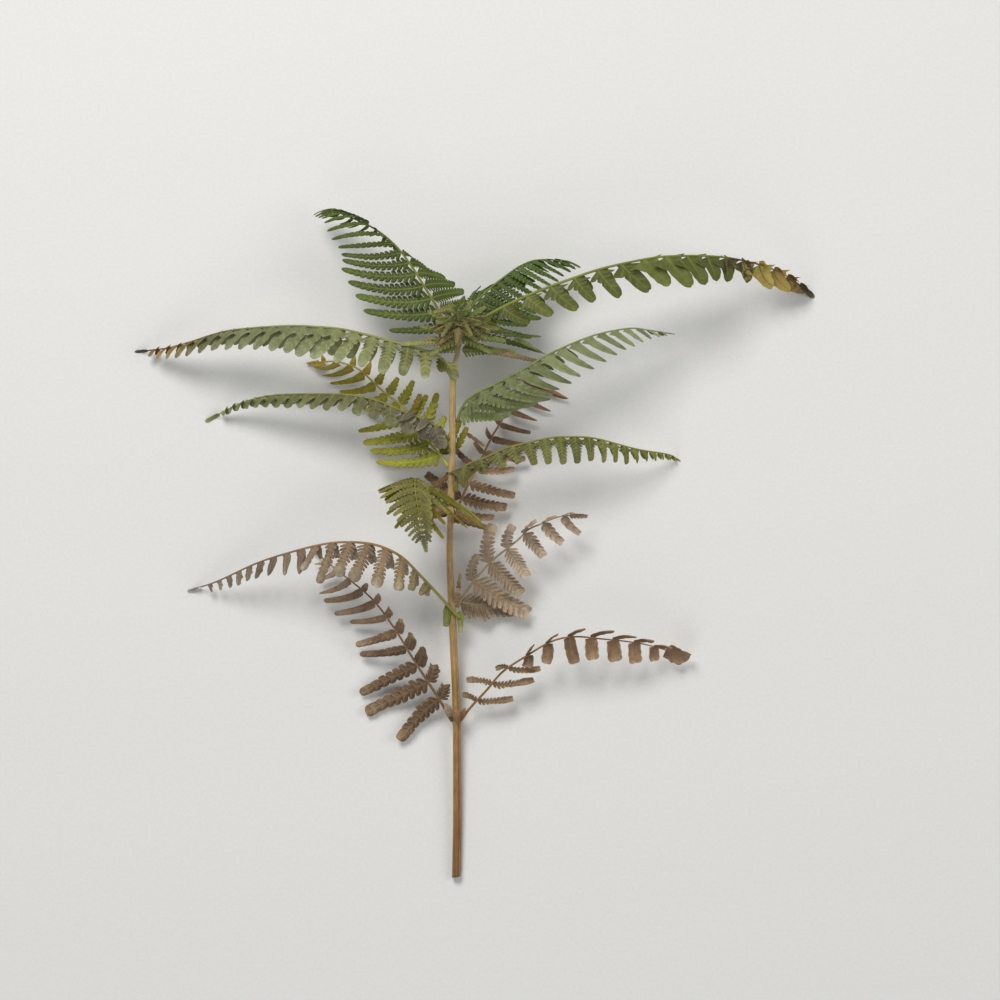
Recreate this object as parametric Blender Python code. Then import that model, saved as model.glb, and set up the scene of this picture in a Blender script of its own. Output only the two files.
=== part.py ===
"""Bracken frond, cut and laid on its back: one stem, fourteen pinnae in pairs and the frond's tip.

Run it with blender --background --python part.py. The stem lies along +Y with its cut end at
the low end, the pinnae spread along X, and +Z is up from the surface that the frond lies on.
All figures below are in millimetres in the stem's own frame: x 0 and y 0 at the middle of the
cut end, z 0 on the surface. At the end the whole frond is moved so that the origin is the middle
of its underside.

Each pinna is one closed body: a six-sided midrib whose two flanks are extruded, pair by pair,
into leaflets. Every leaflet starts square to the midrib and bends into its own direction.
"""

import math
from collections import namedtuple

import bmesh
import bpy
import numpy as np

MM = 0.001  # metres in a millimetre

LEAF_THICKNESS = 0.8
LEAFLET_ROOT_HEIGHT = 1.0
ROOT_WIDTH_SHARE = 0.3  # a leaflet's root is this much of its width, and at least the next value
SMALLEST_ROOT_WIDTH = 1.6
LONG_LEAFLET_FROM = 34  # the reach from which a leaflet is extruded in three steps, not two
# How far along a leaflet each step ends, and the leaflet's width there as a share of its width.
LONG_LEAFLET = ((0.3, 0.8), (0.7, 0.6), (1.0, 0.22))
SHORT_LEAFLET = ((0.5, 0.75), (1.0, 0.22))
# The same for the leaflet at a pinna's end.
END_LEAFLET = ((0.35, 1.0), (0.75, 0.8), (1.0, 0.25))
MIDRIB_TIP_RADIUS = 0.45  # a midrib's radius at its tip, as a share of its radius at the stem
SOFT_LANDING = 3.0  # the height over which a drooping piece levels out above the surface
STEM_SIDES = 10
STEM_RINGS = 26
CUT_SLANT = 1.5
SPAN_SAMPLES = 24  # curve points for each stretch between two given points
CURVE_SAMPLES = 160

# The stem's centreline with its radius: x, y, z, radius.
STEM = [
    (0.0, 0, 4.7, 4.5),
    (1.0, 60, 6.5, 4.4),
    (0.8, 120, 9.5, 4.2),
    (0.2, 170, 13, 4.1),
    (-2.2, 225, 18, 3.9),
    (-4.6, 275, 24, 3.7),
    (-6.4, 322, 30, 3.5),
    (-5.6, 365, 36, 3.3),
    (-3.8, 430, 45, 3.2),
    (-2.8, 500, 54, 3.1),
    (1.6, 527, 58, 2.5),
    (5.0, 545, 62, 1.9),
]

# One side of a pinna. Each entry is a list of values evenly spread over its leaflets, from the
# first to the last: how far a leaflet reaches over the surface, the direction of that reach in
# degrees from +X towards +Y, how far its tip rises or drops, its width, and its roll in degrees.
Side = namedtuple("Side", "reach angle lift width roll")

# A pinna: its midrib's path and radius, its pairs of leaflets, where along the midrib the first
# and last pair sit, how much the pairs crowd towards its tip, its two sides (towards the frond's
# base and towards its tip), its end leaflet's length and width, and its colour.
Pinna = namedtuple(
    "Pinna", "name path radius pairs first last crowd baseward tipward end colour"
)

GREEN = (0.13, 0.20, 0.05)
OLIVE = (0.20, 0.22, 0.06)
YELLOW = (0.36, 0.33, 0.07)
BROWN = (0.20, 0.12, 0.06)
TAN = (0.33, 0.24, 0.15)
STRAW = (0.50, 0.33, 0.13)

PINNAE = [
    Pinna(
        "pinna_1_left",
        [(-5.4, 160, 14), (-20, 184, 20), (-43, 220, 26), (-60, 248, 27), (-84, 280, 24),
         (-113, 304, 17), (-138, 324, 8)],
        1.5, 11, 0.11, 0.96, 0.15,
        Side([56, 70, 64, 47, 44, 36, 43, 41, 33, 22, 12],
             [227, 207, 207, 188, 198, 188, 195, 194, 203, 205, 195],
             [-10, -16, -18, -16, -14, -12, -10, -8, -8, -6, -4],
             [17, 18, 14, 9, 9, 6, 7, 7, 6, 5, 4],
             [0, 0, 0, 10, 10, 10]),
        Side([14, 18, 18, 14, 9, 8, 8, 7, 6], [70, 76, 80, 75, 60, 50, 60],
             [22, 28, 30, 28, 22, 16, 12, 8], [14, 14, 12, 8, 6, 5, 4], [0, 0]),
        (14, 5), BROWN,
    ),
    Pinna(
        "pinna_1_right",
        [(6.0, 160.5, 14), (15, 172, 20), (31, 189.6, 28), (47, 208, 34), (71, 224, 38),
         (96, 238.5, 40), (119, 243, 40), (144, 241, 39), (185, 236, 31), (222, 226, 16)],
        1.3, 10, 0.10, 0.90, 0.05,
        Side([36, 42, 31, 12, 20, 27, 21, 21, 20, 14],
             [2, 4, -2, -95, -93, -76, -86, -84, -87, -90],
             [-8, -10, -8, -4, -4, -4, -4, -4, -6, -6],
             [15, 16, 10, 9, 10, 11, 13, 14, 12, 9],
             [-50, -50, -40, 0, 0, 0, 0, 0, 0, 0]),
        Side([15, 25, 12, 12, 14, 18, 23, 24, 19, 18],
             [160, 175, 185, 60, 40, 28, 16, 7, 4, -5],
             [4, 4, 4, 10, 12, 12, 10, 8, 6, 4],
             [9, 10, 6, 6, 6, 6, 6, 6, 6, 6], [50, 50, 30, 20, 10, 0, 0]),
        (28, 18), TAN,
    ),
    Pinna(
        "pinna_2_left",
        [(2.6, 263, 27), (-3.6, 269, 31.5), (-17.7, 285, 41), (-37, 306, 54), (-54, 323, 62),
         (-73, 333, 66), (-90, 337, 67), (-111, 338, 66), (-132, 336, 63), (-161, 329, 56),
         (-199, 317, 40), (-241, 298, 16), (-267, 290, 0)],
        1.6, 17, 0.15, 0.97, 0.30,
        Side([14, 20, 33, 38, 40, 36, 42, 29, 23, 21, 17, 14, 12, 10, 9, 8, 7],
             [-130, -98, -97, -110, -117, -105, -125, -94, -97, -110, -105, -98, -85, -80, -75],
             [4, 4, 4, 2, 2, 0, 0, 0, -2, -4, -5, -5, -4, -3, -2, -1, 0],
             [8, 8, 12, 13, 14, 16, 9, 8, 8, 6, 6, 5, 5, 5, 5, 4, 4],
             [0, 0]),
        Side([12, 16, 18, 20, 20, 18, 16, 14, 12, 10, 8, 7, 6, 6, 6, 5, 5],
             [-100, -80, -75, -75, -80, -90, -90, -80],
             [-12, -18, -24, -26, -26, -24, -22, -20, -18, -16, -14, -10, -8, -6, -4, -2, -1],
             [7, 8, 10, 11, 11, 10, 8, 7, 6, 5, 5, 5, 4, 4, 4, 4, 4], [0, 0]),
        (10, 5), TAN,
    ),
    Pinna(
        "pinna_2_right",
        [(2.2, 275, 23), (8.4, 286, 25), (18, 299, 29), (30, 313, 33), (40, 322.7, 36),
         (51, 331.3, 39), (63, 341, 41), (72.5, 350.4, 42), (85, 356, 41), (99, 362, 38),
         (111, 364.3, 35), (119.4, 364, 32)],
        1.4, 8, 0.06, 0.92, 0.15,
        Side([54, 62, 48, 30, 26, 26, 24, 20],
             [-16, -39, -36, -58, -52, -47, -45, -48],
             [-8, -14, -12, -8, -8, -8, -8, -8],
             [26, 28, 22, 19, 15, 12, 9, 7], [-30, 0, 0, 0, 0, 0, 0, 0]),
        Side([13, 24, 46, 28, 19, 17, 14, 12],
             [100, 80, 86, 82, 68, 36, 22, 12],
             [12, 10, 8, 8, 8, 8, 6, 4],
             [10, 12, 20, 14, 13, 8, 6, 5], [0, 0, 20, 0, 0, 30, 40, 40]),
        (19, 8), TAN,
    ),
    Pinna(
        "pinna_3_left",
        [(-6.4, 368, 42), (-14, 377, 55), (-25, 389, 74), (-34, 398, 92), (-39, 401, 106),
         (-40, 392, 120), (-37, 372, 124), (-33, 350, 116), (-31, 339, 106)],
        1.4, 11, 0.14, 0.94, 0.0,
        Side([34, 40, 44, 44, 40, 34, 28, 22, 16, 11, 8],
             [206, 200, 194, 192, 198, 204, 210, 212, 214, 220, 225],
             [-6, -4, 4, 6, 6, 4, 2, 0, -2, -4, -4],
             [8, 9, 10, 10, 9, 8, 7, 6, 6, 5, 4], [0, 0]),
        Side([48, 55, 44, 30, 22, 20, 18, 15, 12, 9, 7],
             [-32, -30, -34, -45, -55, -50, -45, -40, -38, -35, -40],
             [6, 8, 14, 16, 14, 8, 4, 0, -2, -4, -4],
             [7, 8, 9, 9, 9, 8, 7, 6, 5, 5, 4], [60, 60, 50, 30, 10, 0, 0]),
        (12, 5), OLIVE,
    ),
    Pinna(
        "pinna_3_right",
        [(-2.0, 360, 30.4), (3, 375, 27), (8.4, 388, 25), (18, 407, 22), (26, 423, 20),
         (35, 442, 18), (44, 457, 15), (56, 477, 12), (68, 494, 9), (76, 507, 7)],
        1.5, 10, 0.04, 0.94, 0.0,
        Side([38, 45, 46, 38, 41, 38, 32, 31, 36, 44],
             [-5, -11, -15, 0, -7, -10, -15, -20, -24, -22],
             [-10, -12, -12, -8, -8, -7, -6, -5, -4, -3],
             [10, 14, 12, 9, 9, 7, 6, 6, 6, 7], [20, 10, 10, 0, 0, 0]),
        Side([40, 42, 24, 28, 14, 12, 12, 12, 12, 10],
             [172, 146, 160, 138, 128, 110, 100, 90, 90, 85],
             [-14, -12, -8, -8, -6, -6, -5, -4, -3, -2],
             [15, 13, 9, 8, 6, 5, 5, 5, 5, 5], [0, 0]),
        (20, 8), BROWN,
    ),
    Pinna(
        "pinna_4_right",
        [(0.0, 391, 42), (3.6, 408, 48), (13, 416, 52), (30, 422.5, 56), (48, 431, 59),
         (67, 436, 61), (94.5, 442, 62), (123, 443, 59), (144, 440.5, 54), (181, 431, 36),
         (213, 426, 12), (223, 421, 0)],
        1.4, 18, 0.10, 0.97, 0.25,
        Side([22, 14, 16, 18, 23, 26, 27, 26, 24, 22, 20, 18, 15, 12, 10, 8, 7, 6],
             [-92, -70, -66, -72, -80, -82, -84, -85, -84, -83, -82, -76, -70, -66, -64, -62],
             [2, 2, 2, 2, 2, 2, 2, 0, 0, -2, -4, -5, -5, -4, -3, -2, -1, 0],
             [12, 9, 10, 9, 9, 9, 9, 9, 8, 7, 6, 6, 5, 5, 5, 4, 4, 4], [0, 0]),
        Side([8, 10, 12, 14, 15, 16, 16, 15, 14, 12, 11, 10, 8, 7, 6, 6, 5, 5],
             [-60, -62, -64, -64, -64, -60, -56, -50],
             [-10, -14, -18, -20, -22, -22, -22, -20, -20, -18, -16, -13, -10, -7, -5, -3, -2, -1],
             [7, 8, 9, 9, 9, 9, 9, 8, 7, 6, 6, 5, 5, 5, 4, 4, 4, 4], [0, 0]),
        (9, 4), GREEN,
    ),
    Pinna(
        "pinna_4_left",
        [(-8.9, 415.5, 41), (-15.6, 425, 38), (-24.7, 435, 35), (-36, 449, 31), (-50, 470, 27),
         (-71, 487, 24), (-84, 499, 22), (-96, 510, 19), (-108, 516, 16), (-123, 519.5, 12),
         (-142, 518.5, 6)],
        1.5, 11, 0.07, 0.95, 0.05,
        Side([64, 58, 59, 53, 36, 38, 38, 35, 31, 25, 16],
             [186, 187, 192, 195, 186, 188, 190, 194, 196, 192, 188],
             [-12, -12, -10, -10, -10, -9, -9, -8, -7, -5, -3],
             [14, 13, 13, 10, 8, 7, 7, 6, 6, 5, 4], [25, 20, 10, 0, 0, 0]),
        Side([41, 30, 41, 26, 27, 20, 16, 14, 12, 10, 8],
             [61, 60, 65, 54, 62, 60, 62, 66, 80, 100, 110],
             [-10, -5, -3, -2, -2, -2, -1, 0, 0, 0, 0],
             [11, 10, 12, 10, 10, 9, 8, 7, 6, 5, 4], [0, 0]),
        (14, 5), YELLOW,
    ),
    Pinna(
        "pinna_5_left",
        [(-8.6, 442.5, 49), (-18, 452, 55), (-31, 460, 59), (-50, 467, 61), (-69, 475.5, 61),
         (-85, 481, 60), (-108, 485, 57), (-132, 486, 52), (-161, 486, 44), (-184, 485, 36),
         (-205, 481, 26), (-228, 472.5, 12), (-247, 462, 0)],
        1.3, 17, 0.07, 0.97, 0.15,
        Side([24, 22, 18, 18, 16, 16, 16, 16, 15, 14, 13, 12, 11, 10, 8, 7, 6],
             [-52, -50, -56, -75, -98, -105, -108, -112, -115, -115, -115, -115, -115, -110],
             [-4, -4, -2, 0, 0, 0, 0, 0, 0, -2, -3, -4, -4, -3, -2, -1, 0],
             [10, 10, 10, 9, 8, 8, 8, 8, 8, 7, 7, 6, 6, 5, 5, 4, 4], [0, 0]),
        Side([10, 12, 12, 12, 12, 12, 12, 12, 11, 10, 10, 9, 8, 7, 6, 5, 5],
             [-60, -70, -90, -100, -105, -105, -105, -105],
             [-6, -8, -10, -12, -14, -16, -16, -16, -14, -13, -12, -10, -8, -5, -3, -2, -1],
             [7, 8, 8, 8, 8, 8, 8, 8, 7, 7, 6, 6, 5, 5, 4, 4, 4], [0, 0]),
        (16, 5), GREEN,
    ),
    Pinna(
        "pinna_5_right",
        [(2.0, 461, 51), (7, 474, 57), (18, 485, 63), (44, 498, 71), (67, 510, 77),
         (91, 524, 81), (117, 536, 82), (142, 545, 80), (173, 551, 70), (192, 549.5, 60),
         (212, 547, 46)],
        1.4, 17, 0.03, 0.96, 0.10,
        Side([50, 61, 60, 57, 50, 44, 42, 41, 40, 39, 36, 31, 27, 22, 17, 12, 8],
             [-1, -4, -11, -14, -20, -25, -27, -30, -29, -28, -28, -30, -34, -36, -36, -32, -28],
             [-12, -12, -12, -12, -10, -10, -10, -10, -10, -9, -8, -7, -6, -5, -4, -3, -2],
             [11, 13, 12, 9, 8, 8, 8, 8, 7, 7, 7, 6, 6, 5, 5, 4, 4], [10, 0, 0, 0]),
        Side([9, 12, 12, 12, 12, 12, 12, 11, 11, 10, 9, 8, 7, 6, 5, 5, 5],
             [60, 40, 34, 28, 24, 20, 16, 8, 0, -6],
             [-16, -22, -28, -32, -34, -36, -36, -36, -34, -30, -26, -22, -17, -12, -8, -5, -3],
             [8, 9, 9, 9, 8, 8, 8, 8, 7, 7, 6, 6, 5, 5, 4, 4, 4], [0, 0]),
        (14, 4), GREEN,
    ),
    Pinna(
        "pinna_6_left",
        [(-6.2, 507, 58), (-11, 518, 63), (-22, 526, 67), (-37, 530.5, 70), (-60, 537, 75),
         (-85, 543.5, 78), (-113, 550, 79), (-139, 552.5, 78), (-166, 553.5, 74), (-198, 552, 65),
         (-226, 549.5, 54), (-244, 545.5, 46), (-267, 538.5, 33), (-290, 533, 18), (-308, 531, 7),
         (-322, 529.5, 0)],
        1.5, 19, 0.05, 0.97, 0.15,
        Side([24, 27, 30, 33, 32, 37, 42, 36, 32, 31, 30, 27, 26, 24, 19, 14, 11, 8, 6],
             [-55, -98, -104, -109, -124, -134, -132, -128, -130, -133, -133, -133, -134, -132,
              -125, -120, -118],
             [-4, 0, 0, 0, 0, 0, 0, 0, 0, -2, -3, -4, -5, -6, -5, -4, -3, -1, 0],
             [11, 9, 10, 11, 10, 10, 12, 11, 10, 10, 9, 8, 8, 7, 7, 6, 5, 4, 4], [0, 0]),
        Side([10, 14, 16, 18, 18, 18, 18, 18, 17, 16, 15, 14, 12, 11, 9, 8, 7, 6, 5],
             [-90, -100, -110, -115, -120, -120, -120, -115, -110],
             [-10, -16, -20, -22, -24, -24, -24, -24, -23, -22, -20, -18, -15, -12, -8, -5, -3, -2, -1],
             [8, 9, 9, 10, 10, 10, 10, 10, 9, 9, 8, 8, 7, 7, 6, 5, 5, 4, 4], [0, 0]),
        (8, 4), GREEN,
    ),
    Pinna(
        "pinna_7_left",
        [(1.6, 543, 63), (-6, 549, 65), (-12.5, 560, 68), (-20.5, 575, 70), (-32, 593.5, 70),
         (-41, 608.5, 68), (-56, 629, 63), (-70, 643, 57), (-87, 654.5, 49), (-104, 662.5, 39),
         (-118, 668, 30), (-130, 668, 22)],
        1.5, 13, 0.08, 0.96, 0.10,
        Side([57, 80, 76, 78, 66, 56, 54, 50, 42, 36, 30, 22, 14],
             [184, 177, 177, 175, 177, 182, 184, 182, 177, 176, 182, 186, 186],
             [-16, -16, -14, -12, -10, -10, -10, -8, -8, -6, -5, -4, -2],
             [9, 14, 14, 13, 11, 9, 9, 8, 8, 7, 6, 5, 4], [30, 15, 10, 0, 0, 0]),
        Side([20, 30, 31, 28, 26, 24, 20, 16, 14, 12, 10, 8, 6],
             [30, 18, 7, -6, -24, -42, -60, -90, -110, -120, -130, -140],
             [10, 6, -2, -8, -14, -16, -18, -18, -16, -14, -10, -7, -4],
             [12, 15, 15, 13, 12, 11, 9, 8, 7, 6, 5, 5, 4], [0, 0]),
        (10, 4), GREEN,
    ),
    Pinna(
        "pinna_7_right",
        [(7.6, 548, 66), (20, 557, 74), (36, 566, 82), (58, 577, 89), (84, 588, 94),
         (111, 598, 96), (147, 610, 95), (193, 620, 89), (219, 622.5, 83), (252, 623, 71),
         (277, 621, 58), (303, 616, 42), (323, 609.5, 28), (341, 600, 14), (354, 590, 4)],
        1.6, 17, 0.08, 0.97, 0.0,
        Side([26, 30, 32, 34, 30, 35, 37, 36, 38, 33, 26, 23, 22, 26, 27, 22, 14],
             [-24, -28, -34, -39, -48, -49, -42, -43, -46, -46, -56, -66, -70, -62, -52, -48, -42],
             [-6, -6, -6, -6, -6, -6, -6, -6, -6, -7, -8, -8, -8, -8, -7, -5, -2],
             [9, 10, 11, 12, 11, 12, 14, 14, 15, 14, 11, 9, 9, 11, 11, 9, 6], [0, 0]),
        Side([10, 12, 12, 12, 12, 12, 12, 13, 14, 14, 14, 14, 14, 14, 14, 12, 8],
             [0, 0, 0, -8, -14, -18, -22, -26, -28, -30],
             [-20, -24, -26, -28, -30, -32, -34, -34, -32, -30, -26, -20, -14, -8, -5, -3, -1],
             [8, 9, 10, 10, 10, 10, 11, 11, 11, 10, 9, 8, 8, 8, 7, 6, 5], [0, 0]),
        (16, 6), OLIVE,
    ),
    Pinna(
        "pinna_8_right",
        [(8.4, 543, 57), (10, 556, 54), (16, 573, 53), (24, 582, 53), (37, 594, 52),
         (54.5, 607.5, 50), (66, 615, 47), (80, 620, 43), (98, 620.5, 38), (110, 617, 34)],
        1.4, 13, 0.03, 0.95, 0.0,
        Side([80, 60, 62, 64, 54, 48, 44, 40, 37, 34, 30, 24, 16],
             [-14, -11, -8, -16, -28, -30, -30, -29, -28, -25, -20, -17, -15],
             [-18, -14, -10, -10, -9, -8, -8, -8, -7, -6, -5, -4, -3],
             [8, 10, 12, 12, 11, 10, 9, 8, 7, 6, 5, 5, 4], [0, 0]),
        Side([10, 14, 16, 14, 12, 12, 12, 12, 12, 12, 10, 8, 6],
             [150, 130, 100, 70, 50, 30, 10, -10, -20, -20, -20],
             [-8, -12, -16, -20, -22, -22, -22, -20, -18, -14, -10, -7, -4],
             [8, 10, 10, 9, 9, 8, 8, 7, 7, 6, 5, 5, 4], [0, 0]),
        (12, 4), GREEN,
    ),
    Pinna(
        "frond_tip",
        [(5.6, 548.5, 66), (6, 552, 77), (4, 557, 92), (2, 564, 106), (3, 572, 116)],
        1.2, 8, 0.16, 0.92, 0.0,
        Side([24, 30, 32, 28, 22, 16, 11, 8],
             [190, 196, 192, 186, 180, 172, 160, 150],
             [4, 2, 0, 0, 0, 0, 0, 0],
             [9, 10, 10, 9, 8, 7, 5, 4], [40, 30, 20, 10, 0]),
        Side([22, 28, 30, 27, 22, 16, 11, 8],
             [-14, -12, -4, 6, 14, 26, 36, 50],
             [8, 6, 4, 2, 0, 0, 0, 0],
             [9, 10, 10, 9, 8, 7, 5, 4], [-40, -30, -20, -10, 0]),
        (9, 4), OLIVE,
    ),
]


def keyed(values, share):
    """The value at a share from 0 to 1 of a list of evenly spread values."""
    return float(np.interp(share, np.linspace(0, 1, len(values)), values))


def unit(vector):
    return vector / max(float(np.linalg.norm(vector)), 1e-9)


def square_to(vector, axis):
    """The part of a vector that is square to a unit axis, at unit length."""
    return unit(vector - np.dot(vector, axis) * axis)


def smooth_curve(points):
    """Points evenly spaced along a Catmull-Rom curve through the given ones."""
    p = np.array(points, float)
    p = np.vstack([2 * p[0] - p[1], p, 2 * p[-1] - p[-2]])
    line = []
    for a, b, c, d in zip(p, p[1:], p[2:], p[3:]):
        for t in np.linspace(0, 1, SPAN_SAMPLES, endpoint=False):
            line.append(0.5 * (2 * b + (c - a) * t + (2 * a - 5 * b + 4 * c - d) * t**2
                               + (3 * b - a - 3 * c + d) * t**3))
    line = np.array(line + [p[-2]])
    steps = np.linalg.norm(np.diff(line[:, :3], axis=0), axis=1)
    along = np.concatenate([[0], np.cumsum(steps)])
    even = np.linspace(0, along[-1], CURVE_SAMPLES)
    return np.column_stack([np.interp(even, along, column) for column in line.T])


def at_share(line, share):
    """(point, direction) at a share of an evenly spaced line."""
    where = share * (len(line) - 1)
    i = min(int(where), len(line) - 2)
    point = line[i] + (line[i + 1] - line[i]) * (where - i)
    ahead = line[min(i + 3, len(line) - 1)] - line[max(i - 2, 0)]
    return point[:3], unit(ahead[:3])


def above_surface(point, half_thickness):
    """Keeps a point over the surface: it levels out softly where it would go through."""
    start = half_thickness + SOFT_LANDING
    if point[2] >= start:
        return point
    height = half_thickness + SOFT_LANDING * math.exp((point[2] - start) / SOFT_LANDING)
    return np.array([point[0], point[1], height])


def reach_vector(side, share):
    """The vector from a leaflet's root to its tip."""
    reach, turn = keyed(side.reach, share), math.radians(keyed(side.angle, share))
    return np.array([reach * math.cos(turn), reach * math.sin(turn), keyed(side.lift, share)])


def tipward_direction(pinna, along, share):
    """The unit vector square to the midrib that points to the tipward leaflets."""
    both = unit(reach_vector(pinna.tipward, share)) - unit(reach_vector(pinna.baseward, share))
    return square_to(both, along)


def hexagon(centre, up, sideways, height, half_width, flank_height):
    """Six corners: crown, two on the tipward flank, keel, two on the baseward flank."""
    flank, edge = sideways * half_width, up * flank_height / 2
    return [centre + up * height, centre + flank + edge, centre + flank - edge,
            centre - up * height, centre - flank - edge, centre - flank + edge]


def place(verts, corners):
    """Puts vertices at the given places, none of them under the surface."""
    for vert, (x, y, z) in zip(verts, corners):
        vert.co = (x * MM, y * MM, max(z, 0.0) * MM)


def add_ring(mesh, corners):
    ring = [mesh.verts.new() for _ in corners]
    place(ring, corners)
    return ring


def bridge(mesh, first, second):
    """Joins two rings of the same count with quads. Returns the faces, one for each side."""
    n = len(first)
    return [mesh.faces.new((first[k], first[(k + 1) % n], second[(k + 1) % n], second[k]))
            for k in range(n)]


def grow_leaflet(mesh, face, side, outward, along, share):
    """Extrudes a flank face of the midrib into a leaflet, step by step."""
    root = np.mean([np.array(vert.co) for vert in face.verts], axis=0) / MM
    reach = reach_vector(side, share)
    length = float(np.linalg.norm(reach))
    bend, tip = root + unit(outward + unit(reach)) * length * 0.45, root + reach
    width, roll = keyed(side.width, share), math.radians(keyed(side.roll, share))
    for t, taper in LONG_LEAFLET if length > LONG_LEAFLET_FROM else SHORT_LEAFLET:
        centre = root * (1 - t) ** 2 + bend * 2 * t * (1 - t) + tip * t**2
        centre = above_surface(centre, LEAF_THICKNESS / 2)
        heading = unit((bend - root) * (1 - t) + (tip - bend) * t)
        flat = square_to(along - 0.25 * outward, heading)
        across = math.cos(roll * t) * flat + math.sin(roll * t) * np.cross(heading, flat)
        top = np.cross(heading, across) * LEAF_THICKNESS / 2
        half = across * width * taper / 2
        corners = [centre - half + top, centre - half - top, centre + half - top, centre + half + top]
        face = bmesh.ops.extrude_discrete_faces(mesh, faces=[face])["faces"][0]
        place(face.verts, corners)


def finish_object(name, mesh, colour, roughness):
    """Makes a named object with its own material from a bmesh."""
    bmesh.ops.recalc_face_normals(mesh, faces=mesh.faces)
    data = bpy.data.meshes.new(name)
    mesh.to_mesh(data)
    mesh.free()
    data.shade_smooth()
    data.set_sharp_from_angle(angle=math.radians(40))
    material = bpy.data.materials.new(name)
    material.use_nodes = True
    shader = material.node_tree.nodes["Principled BSDF"]
    shader.inputs["Base Color"].default_value = (*colour, 1)
    shader.inputs["Roughness"].default_value = roughness
    shader.inputs["Metallic"].default_value = 0.0
    data.materials.append(material)
    made = bpy.data.objects.new(name, data)
    bpy.context.scene.collection.objects.link(made)
    return made


def end_leaflet(mesh, ring, tip, along, sideways, size):
    """Carries the midrib on into the flat leaflet at the pinna's end, and closes it."""
    length, width = size
    up = np.cross(sideways, along)
    for share, taper in END_LEAFLET:
        centre = above_surface(tip + along * length * share, LEAF_THICKNESS / 2)
        corners = hexagon(centre, up, sideways, LEAF_THICKNESS / 2, width * taper / 2,
                          LEAF_THICKNESS / 2)
        further = add_ring(mesh, corners)
        bridge(mesh, ring, further)
        ring = further
    mesh.faces.new(ring)


def make_pinna(pinna):
    """One pinna as a single closed body."""
    line = smooth_curve(pinna.path)
    length = float(np.linalg.norm(np.diff(line, axis=0), axis=1).sum())
    mesh = bmesh.new()

    def midrib_ring(share, along_pairs):
        centre, along = at_share(line, share)
        radius = pinna.radius * (1 - (1 - MIDRIB_TIP_RADIUS) * share)
        centre = above_surface(centre, radius)
        sideways = tipward_direction(pinna, along, along_pairs)
        up = np.cross(sideways, along)
        corners = hexagon(centre, up, sideways, radius, radius * 0.85, LEAFLET_ROOT_HEIGHT)
        return add_ring(mesh, corners), centre, along, sideways

    ring = midrib_ring(0, 0)[0]
    mesh.faces.new(ring)
    for i in range(pinna.pairs):
        u = i / (pinna.pairs - 1)
        share = pinna.first + (pinna.last - pinna.first) * (u + pinna.crowd * u * (1 - u))
        root_width = max(SMALLEST_ROOT_WIDTH, ROOT_WIDTH_SHARE * keyed(pinna.baseward.width, u))
        near, _, along, sideways = midrib_ring(share - root_width / 2 / length, u)
        far = midrib_ring(share + root_width / 2 / length, u)[0]
        bridge(mesh, ring, near)
        flanks = bridge(mesh, near, far)
        grow_leaflet(mesh, flanks[1], pinna.tipward, sideways, along, u)
        grow_leaflet(mesh, flanks[4], pinna.baseward, -sideways, along, u)
        ring = far
    last, tip, along, sideways = midrib_ring((1 + pinna.last) / 2, 1)
    bridge(mesh, ring, last)
    end_leaflet(mesh, last, tip, along, sideways, pinna.end)
    return finish_object(pinna.name, mesh, pinna.colour, roughness=0.65)


def make_stem():
    """The stalk and its thinner upper part as one tapering rod with a slanting cut end."""
    line = smooth_curve(STEM)
    mesh = bmesh.new()
    previous = None
    for i in range(STEM_RINGS):
        share = i / (STEM_RINGS - 1)
        centre, along = at_share(line, share)
        radius = keyed(line[:, 3], share)
        across = square_to(np.array([1.0, 0, 0]), along)
        up = np.cross(across, along)
        slant = 0 if previous else CUT_SLANT
        turns = [math.tau * (k + 0.5) / STEM_SIDES for k in range(STEM_SIDES)]
        ring = add_ring(mesh, [
            centre + radius * (math.cos(turn) * across + math.sin(turn) * up)
            + along * slant * math.cos(turn)
            for turn in turns
        ])
        if previous:
            bridge(mesh, previous, ring)
        else:
            mesh.faces.new(ring)
        previous = ring
    mesh.faces.new(previous)
    return finish_object("stem", mesh, STRAW, roughness=0.5)


def stand_on_origin(pieces):
    """Hangs every piece on one empty, which puts the origin at the middle of the underside."""
    corners = np.array([vert.co for piece in pieces for vert in piece.data.vertices])
    low, high = corners.min(0), corners.max(0)
    frond = bpy.data.objects.new("frond", None)
    bpy.context.scene.collection.objects.link(frond)
    frond.location = (-(low[0] + high[0]) / 2, -(low[1] + high[1]) / 2, -low[2])
    for piece in pieces:
        piece.parent = frond


def main():
    for old in list(bpy.data.objects):
        bpy.data.objects.remove(old)
    stand_on_origin([make_stem()] + [make_pinna(pinna) for pinna in PINNAE])


main()
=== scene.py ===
"""The looks of a cut bracken frond, laid on its back on a pale surface.

The frame gives the stem and the pinnae as plain solids. Here each one is grown again as it really
is: a grooved straw stem, torn and hollow at its cut end, and pinnae whose midribs carry leaflets
with lobes, veins and curled edges. Lengths in the tables are millimetres in the stem's own frame,
which has x 0 and y 0 at the middle of the cut end and z 0 on the surface that the frond lies on.
"""

import math
import random
from collections import namedtuple

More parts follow.
